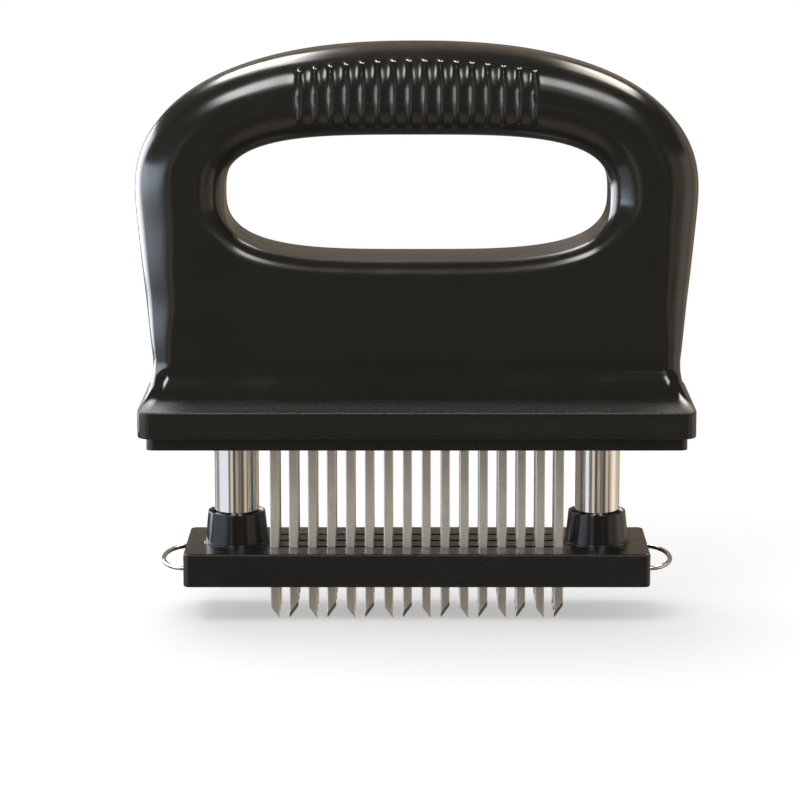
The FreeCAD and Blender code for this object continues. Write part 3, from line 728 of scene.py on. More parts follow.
@dataclass(frozen=True)
class RolledSteel(Finish):
    """Rolled blade strip: matt, with rolling lines along Z and slight staining.

    stain_between holds the noise's values between which a stain comes up, and variation is how far
    the roughness swings with the lines.
    """

    colour: Colour
    roughness: float
    metallic: float = 0.60
    line_size: float = 0.10 * MM
    stretch: Triple = (1.0, 1.0, 40.0)
    line_depth: float = 0.0015 * MM
    variation: float = 0.14
    stain_size: float = 5.0 * MM
    stain_between: Pair = (0.45, 0.8)
    stain_tone: float = 0.86

    def sockets(self, graph: Graph) -> dict[str, Any]:
        """Rolling lines change the gloss, and stains darken the colour."""
        lines = graph.noise(self.line_size, stretch=self.stretch)
        stains = graph.step(graph.noise(self.stain_size, detail=3.0), *self.stain_between)
        return {"Base Color": graph.blend(stains, self.colour, toned(self.colour, self.stain_tone)),
                "Metallic": self.metallic,
                "Roughness": self.roughness + (lines - 0.5) * self.variation,
                "Normal": graph.bump(lines, self.line_depth)}


@dataclass(frozen=True)
class Nylon(Finish):
    """Natural nylon, slightly waxy."""

    colour: Colour
    roughness: float = 0.38
    cloud_size: float = 3.0 * MM
    cloud_tone: float = 0.9
    cloud_gloss: float = 0.1
    grain_size: float = 0.4 * MM
    grain_depth: float = 0.004 * MM

    def sockets(self, graph: Graph) -> dict[str, Any]:
        """A waxy gloss with soft clouds."""
        cloud = graph.noise(self.cloud_size, detail=3.0)
        return {"Base Color": graph.blend(cloud, toned(self.colour, self.cloud_tone), self.colour),
                "Roughness": self.roughness + (cloud - 0.5) * self.cloud_gloss,
                "Normal": graph.bump(graph.noise(self.grain_size), self.grain_depth)}


HANDLE_PLASTIC = ShellPlastic("handle_plastic", (0.0138, 0.0131, 0.0107), 0.20)
CARRIER_PLASTIC = MouldedPlastic("carrier_plastic", (0.0095, 0.0090, 0.0080), 0.30)
GUARD_PLASTIC = MouldedPlastic("guard_plastic", (0.0115, 0.0112, 0.0104), 0.27)
COLLAR_PLASTIC = MouldedPlastic("collar_plastic", (0.0100, 0.0098, 0.0096), 0.15, smudge=0.03)
BLADE_STEEL = RolledSteel("blade_steel", (0.76, 0.72, 0.64), 0.40)
GROUND_STEEL = DrawnSteel("blade_edge", (0.76, 0.74, 0.70), 0.22, stretch=(12.0, 1.0, 1.0))
POST_CHROME = DrawnSteel("post_chrome", (0.83, 0.82, 0.80), 0.10, variation=0.06)
CLIP_WIRE = DrawnSteel("clip_wire", (0.70, 0.69, 0.68), 0.20)
SPRING_STEEL = DrawnSteel("spring_steel", (0.55, 0.55, 0.56), 0.30, stretch=(1.0, 1.0, 1.0))
SCREW_STEEL = DrawnSteel("screw_steel", (0.45, 0.45, 0.46), 0.28, stretch=(1.0, 1.0, 1.0))
PLATE_STEEL = DrawnSteel("plate_steel", (0.58, 0.58, 0.57), 0.34, stretch=(50.0, 1.0, 1.0))
WASHER_NYLON = Nylon("washer_nylon", (0.78, 0.76, 0.70))


# --- handle -------------------------------------------------------------------------------------


@dataclass
class Handle:
    """The arched handle of two hollow shells that meet in the plane Y = 0.

    The body is a flat face between the rounded outer edge and the rounded lip of the opening. Its
    foot runs through a concave flare into a flange. Ribs cross the front and back of the grip.

    edge_rounds and lip_rounds give radii in millimetres, at shares of the outer edge's way from
    the foot to the middle of the grip and of the opening's height. edge_turn and lip_turn divide
    their quarter circles. opening_corner is the angle in degrees under the opening's middle where
    its floor ends. flange_edge_start is a share of flange_edge, and pot_inset and well_depth are
    shares of the wall. inner_steps holds, for the arch, the part under the opening and the foot,
    how many rows and columns of points have one point on the wall's inner side.
    """

    arch_centre: float = 114.5 * MM
    arch_power: float = 2.3
    body_depth: float = 29.0 * MM
    taper: float = 0.116
    taper_ease: float = 5.0 * MM
    side_blend: float = 12.0 * MM
    flange_height: float = 7.1 * MM
    flange_half_width: float = 72.95 * MM
    flange_corner: float = 3.4 * MM
    flange_edge: float = 0.4 * MM
    flange_edge_start: float = 0.25
    foot_edge: float = 0.5 * MM
    flare_height: float = 12.1 * MM
    edge_rounds: Stations = ((0.0, 5.5), (0.13, 9.0), (0.28, 11.0), (0.42, 10.4), (0.56, 9.4),
                             (0.70, 10.1), (1.0, 12.0))
    opening_width: float = 101.0 * MM
    opening_height: float = 32.2 * MM
    opening_centre: float = 113.3 * MM
    opening_powers: Pair = (3.5, 3.0)
    opening_corner: float = 48.0
    lip_rounds: Stations = ((0.0, 4.4), (0.2, 4.8), (0.5, 9.5), (1.0, 10.0))
    wall: float = 2.6 * MM
    inner_corner: float = 0.4 * MM
    parting: float = 0.15 * MM
    rib_count: int = 16
    rib_pitch: float = 4.06 * MM
    rib_width: float = 0.52 * MM
    rib_round: float = 0.9 * MM
    rib_rise: float = 0.75 * MM
    rib_over_opening: float = 2.3 * MM
    rib_under_top: float = 3.8 * MM
    rib_end_drop: float = 2.6 * MM
    rib_end_rise: float = 1.5 * MM
    rib_end_ease: float = 8.0
    screw_places: tuple[Pair, ...] = ((24.0 * MM, 84.0 * MM), (62.25 * MM, 113.3 * MM))
    screw_seat: float = 6.0 * MM
    screw_well: float = 2.85 * MM
    pot_gap: float = 0.05 * MM
    pot_wall: float = 1.1 * MM
    pot_floor: float = 1.0 * MM
    pot_inset: float = 0.4
    well_depth: float = 1.2
    well_segments: int = 48
    side_steps: int = 24
    shoulder_steps: int = 50
    grip_steps: int = 215
    floor_steps: int = 60
    flat_steps: int = 8
    flare_steps: int = 24
    flange_edge_steps: int = 7
    flange_steps: int = 4
    foot_edge_steps: int = 5
    edge_turn: Turn = ((0, 38, 70, 90), (9, 26, 6))
    lip_turn: Turn = ((0, 30, 60, 90), (7, 22, 8))
    inner_steps: tuple[tuple[int, int], ...] = ((4, 5), (4, 5), (4, 3))
    half_width: float = field(init=False)
    top: float = field(init=False)
    flange_bottom: float = field(init=False)
    flange_half_depth: float = field(init=False)

    def __post_init__(self) -> None:
        """Takes the outer sizes from the frame."""
        low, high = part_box("handle_front_shell")
        self.half_width, self.top = high.x, high.z
        self.flange_bottom, self.flange_half_depth = low.z, -low.y

    @property
    def flare_top(self) -> float:
        """Level where the body stands on the flare."""
        return self.flange_bottom + self.flange_height + self.flare_height

    @property
    def opening_top(self) -> float:
        """Level of the middle of the opening's roof."""
        return self.opening_centre + self.opening_height / 2

    @property
    def side_round(self) -> float:
        """Radius of the outer edge at the foot."""
        return self.edge_rounds[0][1] * MM

    @property
    def grip_half(self) -> float:
        """Half the length of the ribbed stretch, with a pitch to spare."""
        return (self.rib_count + 1) * self.rib_pitch / 2

    def side(self, z: np.ndarray) -> np.ndarray:
        """X of the body's side: the widest half width less taper * (hypot(depth, ease) - ease)."""
        below = self.arch_centre - z
        return self.half_width - self.taper * (np.hypot(below, self.taper_ease) - self.taper_ease)

    def arch(self, x: np.ndarray) -> np.ndarray:
        """Z of the superellipse over the hand: |x / a| ** p + |z / b| ** p = 1."""
        rise = self.top - self.arch_centre
        share = 1 - (np.abs(x) / self.half_width) ** self.arch_power
        return self.arch_centre + rise * np.clip(share, 0, 1) ** (1 / self.arch_power)

    def roof(self, x: np.ndarray) -> np.ndarray:
        """Z of the opening's roof: |x / a| ** p + |z / b| ** q = 1."""
        power_x, power_z = self.opening_powers
        share = 1 - (np.abs(x) / (self.opening_width / 2)) ** power_x
        return self.opening_centre + self.opening_height / 2 * np.clip(share, 0, 1) ** (1 / power_z)

    def outer_half(self) -> tuple[np.ndarray, np.ndarray]:
        """The outer edge for X over 0, from the flare up to the middle of the grip.

        Returns:
            X and Z of its points, and X and Z of the outward normals.
        """
        low = np.linspace(self.flare_top, self.arch_centre, self.side_steps + 1)[:-1]
        below = self.arch_centre - low
        slope = self.taper * below / np.hypot(below, self.taper_ease)
        ease = np.clip((low - self.flare_top) / self.side_blend, 0, 1)
        side = np.stack([self.side(low), low], axis=1)
        side_normal = np.stack([np.ones_like(low), -slope * ease ** 2 * (3 - 2 * ease)], axis=1)
        turn = np.linspace(0, np.pi / 2, DENSE)
        x = self.half_width * np.cos(turn) ** (2 / self.arch_power)
        rise = self.top - self.arch_centre
        z = self.arch_centre + rise * np.sin(turn) ** (2 / self.arch_power)
        dense = np.stack([x, z], axis=1)
        shoulder = resampled(dense[x >= self.grip_half], self.shoulder_steps)
        over = np.linspace(shoulder[-1, 0], 0, self.grip_steps + 1)[1:]
        arch = np.concatenate([shoulder, np.stack([over, self.arch(over)], axis=1)])
        halves = np.array([self.half_width, rise])
        arch_normal = ((arch - [0, self.arch_centre]) / halves) ** (self.arch_power - 1) / halves
        normals = np.concatenate([side_normal, arch_normal])
        normals /= np.linalg.norm(normals, axis=1, keepdims=True)
        return np.concatenate([side, arch]), normals

    def lip_normals(self, points: np.ndarray) -> np.ndarray:
        """Unit normals of the opening's superellipse, away from its middle."""
        halves = np.array([self.opening_width, self.opening_height]) / 2
        powers = np.array(self.opening_powers)
        from_middle = (points - [0, self.opening_centre]) / halves
        normal = np.sign(from_middle) * powers / halves * np.abs(from_middle) ** (powers - 1)
        return normal / np.linalg.norm(normal, axis=1, keepdims=True)

    def lip_half(self) -> tuple[np.ndarray, np.ndarray]:
        """The opening's edge for X over 0, in two runs.

        Returns:
            The run from its lower corner up to the middle of its roof, one point for each of
            outer_half, and the run from the middle of its floor to its lower corner.
        """
        turn = np.linspace(-np.pi / 2, np.pi / 2, 2 * DENSE - 1)
        power_x, power_z = self.opening_powers
        x = self.opening_width / 2 * np.cos(turn) ** (2 / power_x)
        z = np.sign(turn) * self.opening_height / 2 * np.abs(np.sin(turn)) ** (2 / power_z)
        dense = np.stack([x, self.opening_centre + z], axis=1)
        outer = self.outer_half()[0]
        corner = np.argmin(np.abs(turn + np.radians(self.opening_corner)))
        middle = len(turn) // 2
        rising = resampled(dense[corner:middle + 1], self.side_steps)[:-1]
        last = np.argmax((turn > 0) & (x <= self.grip_half))
        shoulder = resampled(dense[middle:last], self.shoulder_steps)
        over = outer[len(rising) + len(shoulder):, 0]
        roof = np.stack([over, self.roof(over)], axis=1)
        floor = resampled(dense[:corner + 1], self.floor_steps)
        return np.concatenate([rising, shoulder, roof]), floor

    def rib_height(self, x: np.ndarray, z: np.ndarray) -> np.ndarray:
        """Height of the ribs over the grip.

        A rib is a narrow crest with round ends that runs out in a shallow hollow to the next one.
        At a distance r from its middle line its height is rise / (1 + (r / width) ** 2), and the
        heights of neighbours add up. Where r passes the line's end by p, the height also falls by
        exp(-(p / round) ** 4 / ease).

        Args:
            x: X of the points.
            z: Z of the points on the bare grip.

        Returns:
            The height at each point.
        """
        span = (self.rib_count - 1) / 2
        nearest = np.round(x / self.rib_pitch + span)
        height = np.zeros_like(x)
        for step in (-1, 0, 1):
            number = nearest + step - span
            out = np.minimum(np.abs(number) / span, 1.0) ** 2
            low = self.opening_top + self.rib_over_opening + self.rib_end_rise * out
            high = self.top - self.rib_under_top - self.rib_end_drop * out
            past = np.maximum(np.maximum(low + self.rib_round - z, z - high + self.rib_round), 0)
            apart = ((x - number * self.rib_pitch) ** 2 + past ** 2) / self.rib_width ** 2
            crest = 1 / (1 + apart) * np.exp(-(past / self.rib_round) ** 4 / self.rib_end_ease)
            height += np.where(np.abs(number) <= span, self.rib_rise * crest, 0.0)
        beyond = np.maximum(np.abs(x) - (span + 0.5) * self.rib_pitch, 0) / self.rib_pitch
        return height * np.clip(1 - beyond, 0, 1) ** 2

    @staticmethod
    def radius_at(share: np.ndarray, stations: Stations) -> np.ndarray:
        """An edge's radius between stations.

        Between two stations it goes from one radius to the next as t ** 2 * (3 - 2 t).

        Args:
            share: Shares of the way from the first station to the last.
            stations: The share and the radius in millimetres of each station.

        Returns:
            The radius at each share.
        """
        places, radii = np.array(stations).T
        before = np.clip(np.searchsorted(places, share, side="right") - 1, 0, len(places) - 2)
        t = (share - places[before]) / (places[before + 1] - places[before])
        return (radii[before] + (radii[before + 1] - radii[before]) * t ** 2 * (3 - 2 * t)) * MM

    def rolled(self, edge: np.ndarray, inward: np.ndarray, radius: np.ndarray,
               turn: np.ndarray) -> tuple[np.ndarray, np.ndarray]:
        """A wall across the parting plane that rolls over a quarter circle onto the flat face.

        A point of the quarter circle is edge + inward * r (1 - cos t), -(depth - r) - r sin t. Rows
        with t = 0 are spread from the parting plane to where the circle starts, and the first of
        them is chamfered inwards for the parting groove.

        Args:
            edge: X and Z of the edge's points.
            inward: Unit directions from the edge into the plastic.
            radius: The circle's radius at each point.
            turn: The angles of the circle's rows, from 0 up.

        Returns:
            The points and the outward normals, rows by columns.
        """
        depth = self.body_depth / 2
        start = depth - radius
        flat = [np.zeros_like(start), np.full_like(start, self.parting), start / 2, start]
        groove = [self.parting, 0.0, 0.0, 0.0]
        rows = [(np.column_stack([*(edge + inward * inset).T, -y]), inward, 0.0)
                for y, inset in zip(flat, groove)]
        for t in turn[1:]:
            level = edge + inward * (radius * (1 - np.cos(t)))[:, None]
            rows.append((np.column_stack([*level.T, -start - radius * np.sin(t)]), inward, t))
        points = np.stack([row[0] for row in rows])[:, :, [0, 2, 1]]
        ahead = np.ones(len(edge))
        normals = np.stack([np.column_stack([-toward[:, 0] * np.cos(t), -np.sin(t) * ahead,
                                             -toward[:, 1] * np.cos(t)]) for _, toward, t in rows])
        return points, normals

    def body(self) -> tuple[list[np.ndarray], list[np.ndarray]]:
        """The body of the front half, in two grids: round the arch, and under the opening.

        Across the wall the rows run from the parting plane over the outer edge's quarter circle,
        along the flat face and over the lip's quarter circle back to the parting plane. Under the
        opening they start at the foot. The circles' radii change along the edge and round the lip.

        Returns:
            The points of the two grids, and their outward normals.
        """
        mirror = np.array([-1.0, 1.0])
        outer, outer_normal = self.outer_half()
        rising, floor = self.lip_half()
        outer = np.concatenate([outer, outer[-2::-1] * mirror])
        outer_normal = np.concatenate([outer_normal, outer_normal[-2::-1] * mirror])
        lip = np.concatenate([rising, rising[-2::-1] * mirror])
        under = np.concatenate([floor[::-1] * mirror, floor[1:]])
        length = np.concatenate([[0], np.cumsum(np.linalg.norm(np.diff(outer, axis=0), axis=1))])
        edge_round = self.radius_at(1 - np.abs(2 * length / length[-1] - 1), self.edge_rounds)
        lip_turn = spaced(*self.lip_turn)
        edge, edge_normal = self.rolled(outer, -outer_normal, edge_round, spaced(*self.edge_turn))
        foot_x = np.linspace(-1, 1, len(under)) * edge[-1, 0, 0]
        foot = raised(raised(foot_x, -self.body_depth / 2), self.flare_top)
        grids, normals = [], []
        for start, start_normal, opening in ((edge, edge_normal, lip), (foot[None], None, under)):
            height = (opening[:, 1] - self.opening_centre) / self.opening_height + 0.5
            lip_round = self.radius_at(np.clip(height, 0, 1), self.lip_rounds)
            roll, roll_normal = self.rolled(opening, self.lip_normals(opening), lip_round, lip_turn)
            roll, roll_normal = roll[::-1], roll_normal[::-1]
            between = np.linspace(0, 1, self.flat_steps + 1)[1:-1, None, None]
            flat = start[-1] + (roll[0] - start[-1]) * between
            ahead = np.zeros_like(flat)
            ahead[..., 1] = -1.0
            if start_normal is None:
                start_normal = ahead[:1]
            grids.append(np.concatenate([start, flat, roll]))
            normals.append(np.concatenate([start_normal, ahead, roll_normal]))
        return grids, normals

    def foot(self, top: np.ndarray) -> tuple[np.ndarray, np.ndarray]:
        """The flare and the flange of the front half.

        Each row is a level rounded rectangle. Going down, its half sizes grow by the reach of a
        circle's arc that leaves the body upright, r - sqrt(r ** 2 - d ** 2) with
        r = (h ** 2 + reach ** 2) / (2 reach), then turn over the flange's edge in a quadratic
        curve, stay, and round the foot in a quarter circle.

        Args:
            top: The body's foot from the parting plane at +X round to the one at -X.

        Returns:
            The points and those of the wall's inner side, rows by columns.
        """
        depth = self.body_depth / 2
        base = self.flare_top - self.flare_height
        front_reach = self.flange_half_depth - depth
        side_reach = self.flange_half_width - float(self.side(np.array(base)))
        last = self.flare_height - self.flange_edge_start * self.flange_edge
        front_radius = self.flare_radius(front_reach)
        turn = np.linspace(0, math.asin(last / front_radius), self.flare_steps + 1)
        down = front_radius * np.sin(turn)
        share = np.linspace(0, 1, self.flange_edge_steps + 1)[1:]
        wall_top = base - self.flange_edge
        edge_z = ((1 - share) ** 2 * (self.flare_top - last) + 2 * share * (1 - share) * base
                  + share ** 2 * wall_top)
        wall_foot = self.flange_bottom + self.foot_edge
        wall_z = np.linspace(wall_top, wall_foot, self.flange_steps + 1)[1:]
        round_turn = np.linspace(0, np.pi / 2, self.foot_edge_steps + 1)[1:]
        round_z = self.flange_bottom + self.foot_edge * (1 - np.sin(round_turn))
        z = np.concatenate([self.flare_top - down, edge_z, wall_z, round_z])

        def outs(reach: float) -> np.ndarray:
            """Growth of a half size in every row."""
            radius = self.flare_radius(reach)
            grown = radius - np.sqrt(radius ** 2 - np.append(down, last) ** 2)
            over = (1 - share) ** 2 * grown[-1] + (1 - (1 - share) ** 2) * reach
            under = reach - self.foot_edge * (1 - np.cos(round_turn))
            return np.concatenate([grown[:-1], over, np.full(len(wall_z), reach), under])

        half_x = np.minimum(self.side(np.maximum(z, base)), self.half_width) + outs(side_reach)
        half_y = depth + outs(front_reach)
        fall = np.clip((self.flare_top - z) / self.flare_height, 0, 1)
        corner = self.side_round + (self.flange_corner - self.side_round) * fall
        tilt = np.concatenate([turn, np.full(len(z) - len(turn), turn[-1])])
        inner_y = np.minimum(half_y - self.wall * np.cos(tilt), self.flange_half_depth - self.wall)
        inner_x = np.minimum(half_x, self.flange_half_width) - self.wall
        inner_top = z[:len(turn)] - self.wall * np.sin(turn)
        inner_z = np.concatenate([inner_top, np.linspace(inner_top[-1], self.flange_bottom,
                                                         len(z) - len(turn) + 1)[1:]])
        inner_corner = np.maximum(corner - self.wall, self.inner_corner)
        return (self.level_rows(top, half_x, half_y, corner, z),
                self.level_rows(top, inner_x, inner_y, inner_corner, inner_z))

    def flare_radius(self, reach: float) -> float:
        """Radius of the circle's arc that leaves the body upright and reaches out at the flange."""
        return (self.flare_height ** 2 + reach ** 2) / (2 * reach)

    def level_rows(self, top: np.ndarray, half_x: np.ndarray, half_y: np.ndarray,
                   corner: np.ndarray, level: np.ndarray) -> np.ndarray:
        """Half of a rounded rectangle on each level, with a point for each of the body's foot.

        A point keeps its share of the side or of the front, or its angle in the corner.

        Args:
            top: The body's foot from the parting plane at +X round to the one at -X.
            half_x: Half the length along X on each level.
            half_y: Half the length along Y.
            corner: The corners' radius.
            level: The levels.

        Returns:
            The points, rows by columns.
        """
        half, depth = top[0, 0] + self.parting, self.body_depth / 2 - self.side_round
        size_x, size_y, radius = half_x[:, None], half_y[:, None], corner[:, None]
        sign = np.sign(top[:, 0])
        outside = np.abs(top[:, 0]) > half - self.side_round + NEAR
        at_side = outside & (-top[:, 1] <= depth + NEAR)
        at_corner = outside & ~at_side
        angle = np.arctan2(-top[:, 1] - depth, np.abs(top[:, 0]) - half + self.side_round)
        groove = np.where(np.abs(top[:, 1]) < NEAR, self.parting, 0.0)
        along = top[:, 0] / (half - self.side_round)
        x = np.where(at_side, sign * (size_x - groove),
                     np.where(at_corner, sign * (size_x - radius + radius * np.cos(angle)),
                              along * (size_x - radius)))
        y = np.where(at_side, top[:, 1] / depth * (size_y - radius),
                     np.where(at_corner, -(size_y - radius) - radius * np.sin(angle), -size_y))
        return np.stack([x, y, np.broadcast_to(level[:, None], x.shape)], axis=2)

    def shell(self) -> Surface:
        """The front shell: a closed wall with ribs over the grip."""
        (arch, under), (arch_normal, under_normal) = self.body()
        edge_rows = len(arch) - len(under) + 1
        top = np.concatenate([arch[:edge_rows, 0], under[0, -2:0:-1], arch[edge_rows - 1::-1, -1]])
        foot, foot_inner = self.foot(top)
        ribbed = arch + arch_normal * self.rib_height(arch[..., 0], arch[..., 2])[..., None]
        grids = (ribbed, under, foot)
        outer = Surface.joined([Surface.grid(points) for points in grids])
        inner = np.concatenate([(arch - arch_normal * self.wall).reshape(-1, 3),
                                (under - under_normal * self.wall).reshape(-1, 3),
                                foot_inner.reshape(-1, 3)])
        starts = np.cumsum([0] + [points[..., 0].size for points in grids[:-1]])
        coarser = zip(grids, self.inner_steps, starts)
        standing = np.concatenate([thinned(*points.shape[:2], steps) + start
                                   for points, steps, start in coarser])
        welded, first, inverse = outer.weld()
        return welded.walled(inner[first], inverse[standing][first]).trimmed()

    def round_screws(self, profile: Sequence[tuple[float, float]]) -> list[Surface]:
        """A profile turned about each of the four screws' axes, with its heights along Y."""
        turned = revolved(np.array(profile), (0, 0, 0), self.well_segments)
        along = Surface(turned.points[:, [0, 2, 1]] * [1, 1, -1], turned.faces)
        return [along.moved((side.value * x, 0, z)) for x, z in self.screw_places for side in Side]

    def screw_wells(self, shell: bpy.types.Object) -> bpy.types.Object:
        """Cuts the wells of the sunk screws into the rear shell and lines them with pots.

        Args:
            shell: The rear shell.

        Returns:
            The four pots as one piece.
        """
        face, well, seat = self.body_depth / 2, self.screw_well, self.screw_seat
        bottom, over = face - self.well_depth * self.wall, face + OVERRUN
        carve(shell, self.round_screws([(0.0, bottom), (well, bottom), (well, over), (0.0, over)]))
        inside, mouth = well + self.pot_gap, face - self.pot_inset * self.wall
        outside, under = inside + self.pot_wall, seat - self.pot_floor
        pots = self.round_screws([(0.0, under), (outside, under), (outside, mouth), (inside, mouth),
                                  (inside, seat), (0.0, seat)])
        return piece("screw_wells", [(Surface.joined(pots), HANDLE_PLASTIC)])

    def make(self) -> list[bpy.types.Object]:
        """Makes both shells in place of the frame's, the rear one with wells for its screws."""
        front = self.shell()
        made = []
        for name, surface in (("front", front), ("rear", front.scaled((1, -1, 1)))):
            shell = piece(f"handle_{name}", [(surface, HANDLE_PLASTIC)])
            made.append(settle(shell, "handle", "handle_plastic", f"handle_{name}_shell"))
        return made + [settle(self.screw_wells(made[1]), "handle", "handle_plastic")]


# --- blades -------------------------------------------------------------------------------------


@dataclass
class Blades:
    """Three rows of flat blades with T heads; every second blade is turned round.

    A blade's lower end is one ground plane: it rises across the width by the tip's height, and
    through the thickness by the bevel. straight_from is in tip heights, and sharp in degrees.
    """

    count: int = 16
    pitch: float = 5.05 * MM
    width: float = 2.4 * MM
    thickness: float = 0.7 * MM
    tip_height: float = 3.3 * MM
    bevel: float = 0.9 * MM
    head_width: float = 3.4 * MM
    head_height: float = 2.5 * MM
    edge: Pair = (0.20 * MM, 0.093 * MM)
    straight_from: float = 2.2
    sharp: float = 20.0

    def section(self, width: float) -> np.ndarray:
        """The blade's section with broken corners, anticlockwise."""
        x, y = width / 2, self.thickness / 2
        cut_x, cut_y = self.edge
        return np.array([(x - cut_x, -y), (x, cut_y - y), (x, y - cut_y), (x - cut_x, y),
                         (cut_x - x, y), (-x, y - cut_y), (-x, cut_y - y), (cut_x - x, -y)])

    def one(self, top: float) -> tuple[Surface, Surface]:
        """One blade with its tip at +X and its ground plane to the rear.

        Args:
            top: Height of its head over its tip.

        Returns:
            The rolled strip, and what is ground: the plane at its lower end and the broken corners.
        """
        strip, head = self.section(self.width), self.section(self.head_width)
        slope = math.hypot(self.width, self.tip_height) / self.width
        across = (self.width / 2 - strip[:, 0]) / self.width * self.tip_height
        through = (strip[:, 1] + self.thickness / 2) / self.thickness * self.bevel * slope
        seat = top - self.head_height
        levels = [(strip, across + through), (strip, self.straight_from * self.tip_height),
                  (strip, seat), (head, seat), (head, top)]
        rows = np.stack([raised(outline, z) for outline, z in levels])
        cap = flat_face([head], top, up=True)
        ground = flat_face([strip], 0.0, up=False)
        ground.points[:, 2] = rows[0, :, 2]
        sides = Surface.grid(rows, closed=True)
        # The section's flats and broken corners take turns round the blade.
        corners = np.arange(len(sides.faces)) % 2 == 0
        rolled = Surface(sides.points, sides.faces[~corners])
        broken = Surface(sides.points, sides.faces[corners])
        return Surface.joined([rolled, cap]), Surface.joined([broken, ground])

    def make(self) -> list[bpy.types.Object]:
        """Makes the three rows in place of the frame's."""
        made = []
        for row in ("front", "middle", "rear"):
            low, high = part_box(f"blade_row_{row}")
            strip, ground = self.one(high.z - low.z)
            y = (low.y + high.y) / 2
            parts: dict[Finish, list[Surface]] = {BLADE_STEEL: [], GROUND_STEEL: []}
            for n in range(self.count):
                x = (n - (self.count - 1) / 2) * self.pitch
                turned = (-1, -1, 1) if n % 2 else (1, 1, 1)
                for finish, surface in ((BLADE_STEEL, strip), (GROUND_STEEL, ground)):
                    parts[finish].append(surface.scaled(turned).moved((x, y, low.z)))
            dressed = [(Surface.joined(found), finish) for finish, found in parts.items()]
            blades = piece(f"blades_{row}", dressed, self.sharp)
            made.append(settle(blades, "handle", "blade_steel", f"blade_row_{row}"))
        return made


# --- guard plate --------------------------------------------------------------------------------


